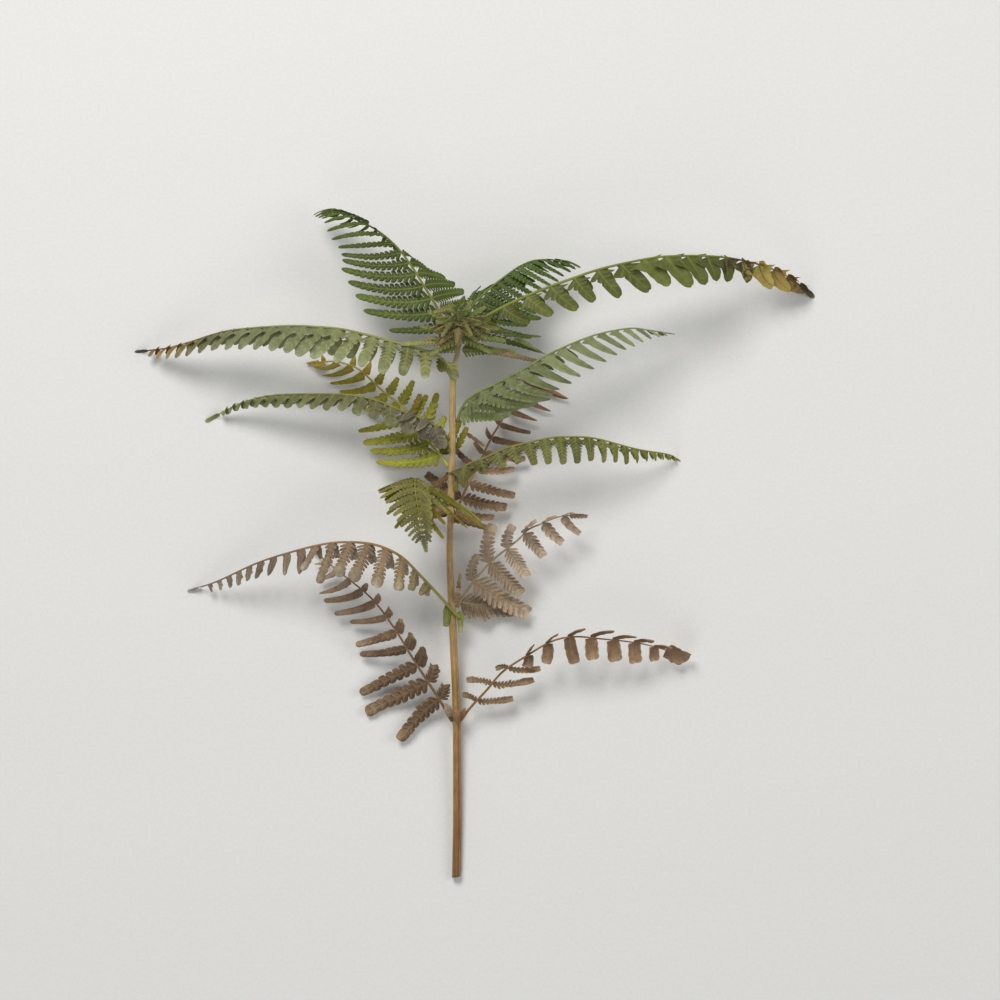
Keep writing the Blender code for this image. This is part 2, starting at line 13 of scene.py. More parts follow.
import bpy
import numpy as np
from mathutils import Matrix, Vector


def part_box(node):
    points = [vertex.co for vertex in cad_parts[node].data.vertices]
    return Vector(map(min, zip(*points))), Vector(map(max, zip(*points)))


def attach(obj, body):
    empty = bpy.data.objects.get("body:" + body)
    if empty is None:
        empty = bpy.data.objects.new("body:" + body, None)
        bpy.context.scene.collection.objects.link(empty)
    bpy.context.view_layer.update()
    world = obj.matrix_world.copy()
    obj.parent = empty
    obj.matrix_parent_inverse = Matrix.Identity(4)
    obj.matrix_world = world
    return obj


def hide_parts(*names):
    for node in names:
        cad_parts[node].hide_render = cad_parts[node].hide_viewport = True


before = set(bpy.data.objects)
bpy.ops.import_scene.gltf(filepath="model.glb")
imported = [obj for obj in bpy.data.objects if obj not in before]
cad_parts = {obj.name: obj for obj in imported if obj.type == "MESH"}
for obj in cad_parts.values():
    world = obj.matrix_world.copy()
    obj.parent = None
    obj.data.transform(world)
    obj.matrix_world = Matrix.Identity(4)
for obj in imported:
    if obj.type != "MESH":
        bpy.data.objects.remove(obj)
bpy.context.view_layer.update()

MM = 0.001  # metres in a millimetre
LOWEST = 0.2  # nothing comes closer to the surface than this
SOFT_LANDING = 3.0  # the height over which a drooping piece levels out above the surface
SPAN_SAMPLES = 24  # curve points for each stretch between two given points
CURVE_SAMPLES = 160

# The stem's centreline with its radius: x, y, z, radius. It runs where the frame's stem does.
STEM = [
    (0.0, 0, 4.7, 4.5), (1.0, 60, 6.5, 4.4), (0.8, 120, 9.5, 4.2), (0.2, 170, 13, 4.1),
    (-2.2, 225, 18, 3.9), (-4.6, 275, 24, 3.7), (-6.4, 322, 30, 3.5), (-5.6, 365, 36, 3.3),
    (-3.8, 430, 45, 3.2), (-2.8, 500, 54, 3.1), (1.6, 527, 58, 2.5), (5.0, 545, 62, 1.9),
]
STEM_RINGS = 180
STEM_SIDES = 28
# The stem's joints, where pinnae leave it: how far up it, how much it swells, over what length.
JOINTS = [(160, 0.14, 6), (268, 0.16, 7), (368, 0.12, 6), (382, 0.08, 5), (415, 0.1, 5),
          (440, 0.1, 5), (458, 0.12, 6), (506, 0.24, 7), (540, 0.3, 8)]
# The stem's grooves: degrees round it from +X over the top, depth and width as shares of the
# radius. The first one faces up and is stained.
GROOVES = [(66, 0.13, 0.2), (118, 0.06, 0.2), (165, 0.05, 0.25), (15, 0.06, 0.25),
           (270, 0.08, 0.3), (225, 0.05, 0.2), (315, 0.05, 0.2)]
# How far the torn edge of the cut end wanders at random, and how far it slants across the end.
TORN = (-0.6, 1)
SLANT = 1.3
# The rings inside the cut end, from its middle outwards: the share of the radius, how deep it
# lies, how uneven it is and how much of it is skin and not pith.
HOLLOW = [(0.12, 5.5, 0.2, 0), (0.4, 5, 0.3, 0), (0.62, 3, 0.5, 0), (0.76, 0.4, 0.4, 0.3),
          (0.9, 0.0, 0.3, 0.7)]
# The rings that round off the stem's thin end: the share of the radius and how far on it lies.
THIN_END = [(0.85, 0.5), (0.5, 0.9), (0.15, 1)]

# The camera looks straight down at this point, through a long lens that keeps high leaflets in
# place. Lens and sensor are in millimetres, and the view is in metres at the point's height.
VIEW_POINT = (44, 380, 50)
LENS = 200
SENSOR = 36
VIEW_WIDTH = 1.0
TABLE_REACH = 9  # metres from the middle of the table top to its sides
# Each light's name, place in metres, size across in metres and power in watts.
LIGHTS = [("key_light", (-1.0, 2.2, 2.8), 1.7, 90), ("fill_light", (2.2, 0.2, 1.9), 1.8, 18),
          ("low_light", (-0.8, -2.2, 1.8), 1.8, 12)]
AMBIENT = 0.32

# One side of a pinna. Each entry is a list of values evenly spread over its leaflets, from the
# first to the last: how far a leaflet reaches over the surface, the direction of that reach in
# degrees from +X towards +Y, how far its tip rises or drops, its width, its roll in degrees, its
# lobes on each edge (0 for a plain edge), and how much of its width is left between two lobes.
Side = namedtuple("Side", "reach angle lift width roll lobes sinus")

# How a pinna's leaflets grow: the width at their roots as a share of their widest, how blunt
# their tips are, how far along the lobes go and how much they shorten on the way, how the halves
# fold up along the leaflet's rib, how far the edges roll under, how the blade bulges between
# veins, how it waves, and how full it is across.
Habit = namedtuple("Habit", "neck blunt lobed taper fold curl crown wave full")

# A pinna: its midrib's path and radius, its pairs of leaflets, where along the midrib the first
# and last pair sit, how much the pairs crowd towards its tip, its two sides (towards the frond's
# base and towards its tip), its end leaflet's length and width, how its leaflets grow, and its
# finish. pale is 1 where the underside of its leaflets faces up.
Pinna = namedtuple(
    "Pinna", "name path radius pairs first last crowd baseward tipward end habit slot pale"
)

FEATHER = Habit(1.2, 1.7, 0.92, 0.66, 0.12, 0.18, 0.6, 0.6, 1.45)
COMB = Habit(1.8, 2.0, 0.74, 0.3, 0.12, 0.2, 0.55, 0.6, 1.35)
TOOTHED = Habit(2.3, 1.9, 0.88, 0.5, 0.12, 0.2, 0.5, 0.6, 1.6)
BANDED = Habit(1.7, 3.4, 0.7, 0.1, 0.1, 0.2, 0.35, 0.5, 1.6)
HANGING = Habit(2.1, 3.0, 0.64, 0.2, 0.1, 0.22, 0.55, 0.8, 1.45)
WITHERED = Habit(0.85, 2.4, 0.92, 0.46, -0.14, 0.35, 0.65, 1.4, 1.15)
STRAPPED = Habit(1.1, 3.2, 0.86, 0.32, -0.12, 0.5, 0.6, 1.8, 1.12)
CLUBBED = Habit(0.9, 14.0, 0.76, 0.0, -0.1, 0.5, 0.3, 1.2, 0.95)
CROWNED = Habit(2.2, 3.6, 0.5, 0.15, -0.08, 0.25, 0.3, 0.5, 1.35)
FANNED = Habit(1.2, 1.7, 0.94, 0.66, 0.08, 0.14, 0.45, 0.6, 1.8)
SPRIG = Habit(0.5, 2.0, 0.9, 0.5, 0.08, 0.2, 0.25, 0.6, 1.0)

PINNAE = [
    Pinna(
        "pinna_1_left",
        [(-5.4, 160, 14), (-20, 184, 20), (-43, 220, 26), (-60, 248, 27), (-84, 280, 24),
         (-113, 304, 17), (-138, 324, 8)],
        1.5, 11, 0.11, 0.96, 0.15,
        Side([56, 70, 64, 47, 44, 36, 43, 41, 33, 22, 12],
             [227, 207, 207, 188, 198, 188, 195, 194, 203, 205, 195],
             [-10, -16, -18, -16, -14, -12, -10, -8, -8, -6, -4],
             [18, 19, 15, 10, 10, 7, 8, 8, 7, 6, 4],
             [0, 0, 0, 10, 10, 10],
             [7, 8, 7, 6, 6, 3, 3, 3, 0, 0, 0],
             [0.55, 0.5, 0.55, 0.8, 0.85] + [1] * 6),
        Side([15, 19, 19, 15, 11, 9, 8, 7, 6], [70, 76, 80, 75, 60, 50, 60],
             [10, 12, 12, 12, 10, 8, 8, 6], [15, 15, 13, 9, 7, 6, 5], [0],
             [5, 4] + [0] * 9, [0.6, 0.8, 1, 1, 1]),
        (14, 5), WITHERED, "brown_frond", 0,
    ),
    Pinna(
        "pinna_1_right",
        [(6.0, 160.5, 14), (15, 172, 20), (31, 189.6, 28), (47, 208, 34), (71, 224, 38),
         (96, 238.5, 40), (119, 243, 40), (144, 241, 39), (185, 236, 31), (222, 226, 16)],
        1.3, 10, 0.1, 0.9, 0.05,
        Side([36, 42, 31, 12, 20, 27, 21, 21, 20, 14],
             [2, 4, -2, -95, -93, -76, -86, -84, -87, -90],
             [-8, -10, -8, -4, -4, -4, -4, -4, -6, -6],
             [8, 9, 7, 11, 12, 13, 14, 15, 14, 11],
             [-60, -60, -40] + [0] * 7,
             [7, 8, 6] + [0] * 7, [0.4, 0.4, 0.5] + [1] * 7),
        Side([15, 25, 12, 12, 14, 18, 23, 24, 19, 18],
             [160, 175, 185, 60, 40, 28, 16, 7, 4, -5],
             [4, 4, 4, 10, 12, 12, 10, 8, 6, 4],
             [7, 8] + [6] * 8, [50, 50, 30, 20, 10, 0, 0],
             [4, 6, 4] + [0] * 7, [0.45, 0.45, 0.5] + [1] * 7),
        (28, 18), CLUBBED, "brown_frond", 0,
    ),
    Pinna(
        "pinna_2_left",
        [(2.6, 263, 27), (-3.6, 269, 31.5), (-17.7, 285, 41), (-37, 306, 54), (-54, 323, 62),
         (-73, 333, 66), (-90, 337, 67), (-111, 338, 66), (-132, 336, 63), (-161, 329, 56),
         (-199, 317, 40), (-241, 298, 16), (-267, 290, 0)],
        1.6, 17, 0.15, 0.93, 0.28,
        Side([14, 20, 33, 38, 40, 36, 42, 29, 24, 22, 19, 17, 15, 14, 12, 10, 8],
             [-130, -98, -97, -110, -117, -105, -125, -94, -97, -110, -105, -98, -85, -80, -75],
             [4, 4, 4, 2, 2, 0, 0, 0, -2, -4, -5, -5, -4, -3, -2, -1, 0],
             [9, 10, 14, 16, 17, 17, 12, 9, 9, 8, 8, 8, 8, 8, 7, 6, 5],
             [0],
             [0, 4, 7, 9, 9, 8, 7, 5] + [0] * 9,
             [1, 0.55, 0.36, 0.28, 0.28, 0.3, 0.5, 0.7] + [1] * 9),
        Side([12, 16, 18, 20, 20, 18, 16, 14, 12, 10, 8, 7, 6, 6, 6, 5, 5],
             [-100, -80, -75, -75, -80, -90, -90, -80],
             [-12, -18, -24, -26, -26, -24, -22, -20, -18, -16, -14, -10, -8, -6, -4, -2, -1],
             [7, 8, 10, 11, 11, 10, 8, 7, 6, 5, 5, 5, 4, 4, 4, 4, 4], [0],
             [3, 4, 5, 5, 5, 4, 3] + [0] * 10, [0.5, 0.45, 0.45, 0.6, 1, 1, 1]),
        (16, 6), STRAPPED, "tan_frond", 0,
    ),
    Pinna(
        "pinna_2_right",
        [(2.2, 275, 23), (8.4, 286, 25), (18, 299, 29), (30, 313, 33), (40, 322.7, 36),
         (51, 331.3, 39), (63, 341, 41), (72.5, 350.4, 42), (85, 356, 41), (99, 362, 38),
         (111, 364.3, 35), (119.4, 364, 32)],
        1.4, 7, 0.02, 0.92, 0.1,
        Side([54, 66, 50, 34, 31, 29, 27, 24],
             [-6, -29, -38, -55, -54, -48, -46, -46],
             [-12, -16, -12, -8, -8, -8, -8, -8],
             [29, 26, 21, 19, 17, 14, 12, 9], [0, 0, 0, 0, 0, 0, 0, 0],
             [10, 10, 9, 8, 7, 5, 4, 3], [0.5, 0.3, 0.4, 0.5, 0.5, 0.6, 0.7, 0.85]),
        Side([13, 24, 46, 28, 19, 17, 14, 12],
             [100, 80, 86, 82, 68, 36, 22, 12],
             [12, 10, 8, 8, 8, 8, 6, 4],
             [10, 12, 20, 14, 13, 8, 6, 5], [0, 0, 20, 0, 0, 30, 40, 40],
             [3, 5, 9, 6, 4, 3, 0, 0], [0.5, 0.4, 0.3, 0.5, 0.6, 0.8, 1, 1]),
        (19, 8), WITHERED, "tan_frond", 0,
    ),
    Pinna(
        "pinna_3_left",
        [(-6.4, 368, 42), (-14, 377, 55), (-25, 389, 74), (-34, 398, 92), (-39, 401, 106),
         (-40, 392, 120), (-37, 372, 124), (-33, 350, 116), (-31, 339, 106)],
        1.4, 19, 0.12, 0.95, 0.2,
        Side([34, 40, 44, 44, 40, 36, 30, 25, 20, 15, 10],
             [206, 200, 194, 192, 198, 204, 210, 212, 214, 220, 225],
             [-6, -4, 4, 6, 6, 4, 2, 0, -2, -4, -4],
             [6, 7, 7, 7, 7, 6, 6, 5, 5, 4, 4], [0],
             [10, 11, 11, 11, 10, 9, 8, 7, 6, 5, 4], [0.45, 0.45, 0.5, 0.5, 0.6, 0.6, 0.6]),
        Side([48, 55, 44, 32, 25, 23, 21, 18, 15, 12, 9],
             [-32, -30, -34, -45, -55, -50, -45, -40, -38, -35, -40],
             [6, 8, 14, 16, 14, 8, 4, 0, -2, -4, -4],
             [2.6, 2.6, 3, 4, 5, 5, 5, 5, 5, 4, 4], [60, 60, 50, 30, 10, 0, 0],
             [11, 12, 10, 9, 8, 8, 7, 6, 5, 4, 4], [0.5, 0.5, 0.5, 0.5, 0.6, 0.6, 0.6]),
        (20, 8), FANNED, "yellow_frond", 0,
    ),
    Pinna(
        "pinna_3_right",
        [(-2.0, 360, 30.4), (3, 375, 27), (8.4, 388, 25), (18, 407, 22), (26, 423, 20),
         (35, 442, 18), (44, 457, 15), (56, 477, 12), (68, 494, 9), (76, 507, 7)],
        1.5, 10, 0.04, 0.94, 0,
        Side([38, 45, 46, 38, 41, 38, 32, 31, 36, 44],
             [-5, -11, -15, 0, -7, -10, -15, -20, -24, -22],
             [-10, -12, -12, -8, -8, -7, -6, -5, -4, -3],
             [10, 14, 12, 9, 9, 7, 6, 6, 6, 7], [20, 10, 10, 0, 0, 0],
             [6, 8, 8, 6, 6, 5, 4, 0, 0, 0], [0.6, 0.45, 0.45, 0.7, 0.75, 0.85, 0.9, 1, 1, 1]),
        Side([40, 42, 24, 28, 14, 12, 12, 12, 12, 10],
             [172, 146, 160, 138, 128, 110, 100, 90, 90, 85],
             [-14, -12, -8, -8, -6, -6, -5, -4, -3, -2],
             [15, 13, 9, 8, 6, 5, 5, 5, 5, 5], [0],
             [7, 7, 5, 5, 3, 0, 0, 0, 0, 0], [0.5, 0.5, 0.6, 0.7, 0.8, 1, 1, 1, 1, 1]),
        (20, 8), WITHERED, "brown_frond", 0,
    ),
    Pinna(
        "pinna_4_right",
        [(0.0, 391, 42), (3.6, 408, 48), (13, 416, 52), (30, 422.5, 56), (48, 431, 59),
         (67, 436, 61), (94.5, 442, 62), (123, 443, 59), (144, 440.5, 54), (181, 431, 36),
         (213, 426, 12), (223, 421, 0)],
        1.4, 18, 0.1, 0.97, 0.35,
        Side([22, 14, 16, 18, 23, 26, 27, 26, 24, 22, 20, 18, 15, 12, 10, 8, 7, 6],
             [-92, -70, -66, -72, -80, -82, -84, -85, -84, -83, -82, -76, -70, -66, -64, -62],
             [2, 2, 2, 2, 2, 2, 2, 0, 0, -2, -4, -5, -5, -4, -3, -2, -1, 0],
             [12, 9, 10, 9, 9, 9, 9, 9, 8, 7, 6, 6, 5, 5, 5, 4, 4, 4], [0],
             [0, 3, 4, 5, 6, 7, 7, 7, 6, 5, 4, 3] + [0] * 6,
             [1, 0.7, 0.7, 0.65, 0.65, 0.65, 0.65, 0.65, 0.7, 0.75, 0.85, 0.9] + [1] * 6),
        Side([10, 12, 14, 17, 19, 20, 20, 19, 18, 16, 14, 12, 11, 9, 8, 7, 6, 5],
             [-76, -78, -80, -84, -86, -84, -78, -70],
             [-6, -8, -10, -12, -12, -12, -12, -12, -11, -10, -9, -8, -6, -5, -4, -3, -2, -1],
             [7, 8, 9, 9, 9, 9, 9, 8, 7, 6, 6, 5, 5, 5, 4, 4, 4, 4], [0],
             [0, 3, 3, 4, 4, 4, 4, 3] + [0] * 10, [0.7, 0.7, 0.7, 0.9, 1, 1, 1]),
        (9, 4), TOOTHED, "green_frond", 0,
    ),
    Pinna(
        "pinna_4_left",
        [(-8.9, 415.5, 41), (-15.6, 425, 38), (-24.7, 435, 35), (-36, 449, 31), (-50, 470, 27),
         (-71, 487, 24), (-84, 499, 22), (-96, 510, 19), (-108, 516, 16), (-123, 519.5, 12),
         (-142, 518.5, 6)],
        1.5, 11, 0.07, 0.95, 0.05,
        Side([64, 58, 59, 53, 36, 38, 38, 35, 31, 25, 16],
             [186, 187, 192, 195, 186, 188, 190, 194, 196, 192, 188],
             [-12, -12, -10, -10, -10, -9, -9, -8, -7, -5, -3],
             [14, 13, 13, 10, 8, 7, 7, 6, 6, 5, 4], [25, 20, 10, 0, 0, 0],
             [9, 9, 9, 8, 6, 5, 4, 3, 0, 0, 0],
             [0.4, 0.4, 0.45, 0.5, 0.6, 0.7, 0.8, 0.9, 1, 1, 1]),
        Side([41, 30, 41, 26, 27, 20, 16, 14, 12, 10, 8],
             [61, 60, 65, 54, 62, 60, 62, 66, 80, 100, 110],
             [-10, -5, -3, -2, -2, -2, -1, 0, 0, 0, 0],
             [11, 10, 12, 10, 10, 9, 8, 7, 6, 5, 4], [0],
             [6, 5, 6, 5, 5, 4, 3, 0, 0, 0, 0], [0.45, 0.45, 0.45, 0.5, 0.6, 0.7, 0.85, 1, 1, 1, 1]),
        (14, 5), FEATHER, "yellow_frond", 0,
    ),
    Pinna(
        "pinna_5_left",
        [(-8.6, 442.5, 49), (-18, 452, 55), (-31, 460, 59), (-50, 467, 61), (-69, 475.5, 61),
         (-85, 481, 60), (-108, 485, 57), (-132, 486, 52), (-161, 486, 44), (-184, 485, 36),
         (-205, 481, 26), (-228, 472.5, 12), (-247, 462, 0)],
        1.3, 18, 0.07, 0.92, 0.25,
        Side([24, 22, 20, 19, 18, 18, 18, 18, 17, 17, 16, 15, 14, 12, 11, 9, 8],
             [-70, -75, -85, -100, -112, -120, -124, -128, -130, -132, -132, -132, -132, -128],
             [-4, -4, -2, 0, 0, 0, 0, 0, 0, -2, -3, -4, -4, -3, -2, -1, 0],
             [10, 10, 10, 9, 8, 8, 8, 8, 8, 8, 8, 8, 8, 7, 7, 6, 6], [0],
             [4, 4, 3, 3, 3] + [0] * 12, [0.6, 0.65, 0.75, 0.85, 0.9, 1, 1]),
        Side([10, 12, 12, 12, 12, 12, 12, 12, 11, 10, 10, 9, 8, 7, 6, 5, 5],
             [-60, -70, -90, -100, -105, -105, -105, -105],
             [-6, -8, -10, -12, -14, -16, -16, -16, -14, -13, -12, -10, -8, -5, -3, -2, -1],
             [7, 8, 8, 8, 8, 8, 8, 8, 7, 7, 6, 6, 5, 5, 4, 4, 4], [0],
             [0], [1]),
        (18, 6), BANDED, "green_frond", 1,
    ),
    Pinna(
        "pinna_5_right",
        [(2.0, 461, 51), (7, 474, 57), (18, 485, 63), (44, 498, 71), (67, 510, 77),
         (91, 524, 81), (117, 536, 82), (142, 545, 80), (173, 551, 70), (192, 549.5, 60),
         (212, 547, 46)],
        1.4, 17, 0.03, 0.96, 0.1,
        Side([50, 61, 60, 57, 50, 44, 42, 41, 40, 39, 36, 31, 27, 22, 17, 12, 8],
             [-1, -4, -11, -14, -20, -25, -27, -30, -29, -28, -28, -30, -34, -36, -36, -32, -28],
             [-12, -12, -12, -12, -10, -10, -10, -10, -10, -9, -8, -7, -6, -5, -4, -3, -2],
             [11, 13, 12, 9, 8, 8, 8, 8, 7, 7, 7, 6, 6, 5, 5, 4, 4], [10, 0, 0, 0],
             [8, 9, 9, 7, 4] + [0] * 12,
             [0.45, 0.42, 0.45, 0.6, 0.8] + [1] * 12),
        Side([18, 24, 26, 26, 26, 24, 22, 20, 20, 19, 17, 15, 13, 11, 9, 7, 6],
             [12, 0, -8, -14, -20, -26, -28, -30, -34, -34],
             [-10, -14, -16, -18, -18, -18, -18, -18, -17, -16, -14, -12, -10, -8, -6, -4, -3],
             [8, 9, 9, 9, 8, 8, 8, 8, 7, 7, 6, 6, 5, 5, 4, 4, 4], [0],
             [3, 4, 4, 4, 3] + [0] * 12, [0.5, 0.6, 0.8, 1, 1, 1]),
        (14, 4), COMB, "green_frond", 0,
    ),
    Pinna(
        "pinna_6_left",
        [(-6.2, 507, 58), (-11, 518, 63), (-22, 526, 67), (-37, 530.5, 70), (-60, 537, 75),
         (-85, 543.5, 78), (-113, 550, 79), (-139, 552.5, 78), (-166, 553.5, 74), (-198, 552, 65),
         (-226, 549.5, 54), (-244, 545.5, 46), (-267, 538.5, 33), (-290, 533, 18), (-308, 531, 7),
         (-322, 529.5, 0)],
        1.5, 20, 0.05, 0.93, 0.15,
        Side([24, 27, 30, 33, 32, 37, 42, 36, 32, 31, 30, 28, 28, 27, 26, 24, 21, 17, 12],
             [-55, -98, -104, -109, -124, -134, -132, -128, -130, -133, -133, -134, -134, -135,
              -136, -138, -142],
             [-4, 0, 0, 0, 0, 0, 0, 0, 0, -2, -3, -4, -5, -6, -5, -4, -3, -1, 0],
             [11, 9, 10, 11, 10, 10, 12, 11, 10, 10, 9, 9, 9, 8, 8, 8, 7, 7, 6], [0],
             [4, 4, 5, 6, 5, 4, 4, 3, 3] + [0] * 10,
             [0.5, 0.45, 0.42, 0.42, 0.5, 0.6, 0.7, 0.75, 0.8] + [1] * 10),
        Side([12, 18, 22, 25, 25, 26, 28, 27, 25, 23, 21, 19, 17, 15, 12, 10, 8, 7, 6],
             [-80, -96, -106, -112, -120, -124, -126, -124, -120],
             [-10, -16, -20, -22, -24, -24, -24, -24, -23, -22, -20, -18, -15, -12, -8, -5, -3, -2,
              -1],
             [9, 10, 11, 12, 12, 12, 12, 12, 11, 10, 9, 9, 8, 8, 7, 6, 5, 5, 4], [0],
             [3, 4, 4, 4, 3, 3, 3] + [0] * 12, [0.5, 0.6, 0.8, 1, 1]),
        (15, 5), HANGING, "green_frond", 1,
    ),
    Pinna(
        "pinna_7_left",
        [(1.6, 543, 63), (-6, 549, 65), (-12.5, 560, 68), (-20.5, 575, 70), (-32, 593.5, 70),
         (-41, 608.5, 68), (-56, 629, 63), (-70, 643, 57), (-87, 654.5, 49), (-104, 662.5, 39),
         (-118, 668, 30), (-130, 668, 22)],
        1.5, 16, 0.08, 0.97, 0.34,
        Side([57, 80, 76, 78, 66, 56, 54, 50, 44, 38, 33, 27, 18],
             [184, 177, 177, 175, 177, 182, 184, 182, 177, 176, 182, 186, 186],
             [-16, -16, -14, -12, -10, -10, -10, -8, -8, -6, -5, -4, -2],
             [9, 13, 13, 12, 10, 8, 8, 7, 6, 5, 5, 4, 3], [30, 15, 10, 0, 0, 0],
             [9, 12, 12, 11, 11, 10, 9, 8, 7, 6, 5, 0, 0],
             [0.4, 0.3, 0.3, 0.34, 0.4, 0.5, 0.55, 0.6, 0.7, 0.8, 1, 1, 1]),
        Side([20, 31, 32, 29, 26, 18, 7, 8, 12, 14, 14, 12, 9],
             [30, 18, 7, -6, -24, -42, -110, -140, -150, -155, -160, -165, -170],
             [10, 6, -2, -8, -12, -10, -6, -4, -3, -3, -2, -2, -1],
             [11, 13, 13, 12, 10, 8, 5, 4, 3, 3, 3, 3, 3], [0],
             [8, 11, 11, 9, 8, 7, 4, 3, 0, 0, 0, 0, 0], [0.55, 0.6, 0.65, 0.65, 0.7, 0.8, 1, 1]),
        (10, 4), FEATHER, "green_frond", 0,
    ),
    Pinna(
        "pinna_7_right",
        [(7.6, 548, 66), (20, 557, 74), (36, 566, 82), (58, 577, 89), (84, 588, 94),
         (111, 598, 96), (147, 610, 95), (193, 620, 89), (219, 622.5, 83), (252, 623, 71),
         (277, 621, 58), (303, 616, 42), (323, 609.5, 28), (341, 600, 14), (354, 590, 4)],
        1.6, 17, 0.06, 0.97, 0.2,
        Side([26, 30, 32, 34, 30, 35, 37, 36, 38, 33, 26, 23, 22, 26, 27, 22, 14],
             [-24, -28, -34, -39, -48, -49, -42, -43, -48, -54, -64, -82, -72, -58, -50, -46, -40],
             [-6, -6, -6, -6, -6, -6, -6, -6, -6, -7, -8, -8, -8, -8, -7, -5, -2],
             [9, 10, 11, 12, 11, 12, 14, 14, 15, 14, 12, 12, 12, 13, 13, 11, 8], [0],
             [4, 4, 4, 3, 3, 3, 2] + [0] * 10,
             [0.7, 0.65, 0.65, 0.65, 0.65, 0.65, 0.75] + [1] * 10),
        Side([16, 18, 19, 20, 21, 22, 22, 22, 22, 20, 14, 9, 9, 13, 15, 13, 9],
             [-20, -26, -32, -38, -38, -38, -38, -36, -28, -26],
             [-12, -14, -15, -16, -16, -17, -18, -18, -17, -16, -15, -12, -10, -6, -4, -3, -1],
             [8, 9, 10, 10, 10, 10, 11, 11, 10, 8, 6, 4, 4, 5, 5, 4, 4], [0],
             [3, 3, 3, 3, 3] + [0] * 12, [0.6, 0.8, 1, 1]),
        (16, 6), CROWNED, "green_frond", 0,
    ),
    Pinna(
        "pinna_8_right",
        [(8.4, 543, 57), (10, 556, 54), (16, 573, 53), (24, 582, 53), (37, 594, 52),
         (54.5, 607.5, 50), (66, 615, 47), (80, 620, 43), (98, 620.5, 38), (110, 617, 34)],
        1.4, 17, 0.03, 0.97, 0.1,
        Side([80, 60, 62, 64, 54, 48, 44, 40, 38, 36, 33, 28, 20],
             [-14, -11, -8, -16, -28, -30, -30, -29, -28, -25, -20, -17, -15],
             [-18, -14, -10, -10, -9, -8, -8, -8, -7, -6, -5, -4, -3],
             [8, 9, 10, 10, 9, 8, 7, 6, 6, 5, 5, 4, 4], [0],
             [14, 13, 13, 13, 12, 11, 10, 9, 8, 7, 6, 5, 0],
             [0.4, 0.35, 0.35, 0.4, 0.4, 0.45, 0.5, 0.55, 0.6, 0.7, 0.8, 0.9, 1]),
        Side([12, 16, 22, 26, 28, 28, 28, 26, 24, 20, 16, 12, 8],
             [150, 120, 60, 20, 0, -14, -24, -30, -34, -34, -30],
             [-8, -12, -16, -20, -22, -22, -22, -20, -18, -14, -10, -7, -4],
             [9, 11, 12, 12, 10, 8, 7, 6, 5, 4, 4, 3, 3], [0],
             [5, 7, 8, 8, 8, 7, 6, 5, 4, 0, 0, 0, 0], [0.5, 0.5, 0.6, 0.8, 1]),
        (12, 4), FEATHER, "green_frond", 0,
    ),
    Pinna(
        "frond_tip",
        [(5.6, 548.5, 66), (6, 552, 77), (4, 557, 92), (2, 564, 106), (3, 572, 116)],
        1.2, 8, 0.16, 0.92, 0,
        Side([24, 30, 32, 28, 22, 16, 11, 8],
             [198, 214, 190, 202, 178, 206, 160, 150],
             [4, 2] + [0] * 6,
             [9, 10, 10, 9, 8, 7, 5, 4], [40, 30, 20, 10, 0],
             [5, 6, 6, 5, 4, 3, 0, 0], [0.45, 0.5, 0.6, 0.8, 1]),
        Side([22, 28, 30, 27, 22, 16, 11, 8],
             [-30, -12, -34, 10, -8, 30, 20, 50],
             [8, 6, 4, 2, 0, 0, 0, 0],
             [9, 10, 10, 9, 8, 7, 5, 4], [-40, -30, -20, -10, 0],
             [5, 6, 6, 5, 4, 3, 0, 0], [0.45, 0.5, 0.6, 0.8, 1]),
        (9, 4), FEATHER, "green_frond", 0,
    ),
]

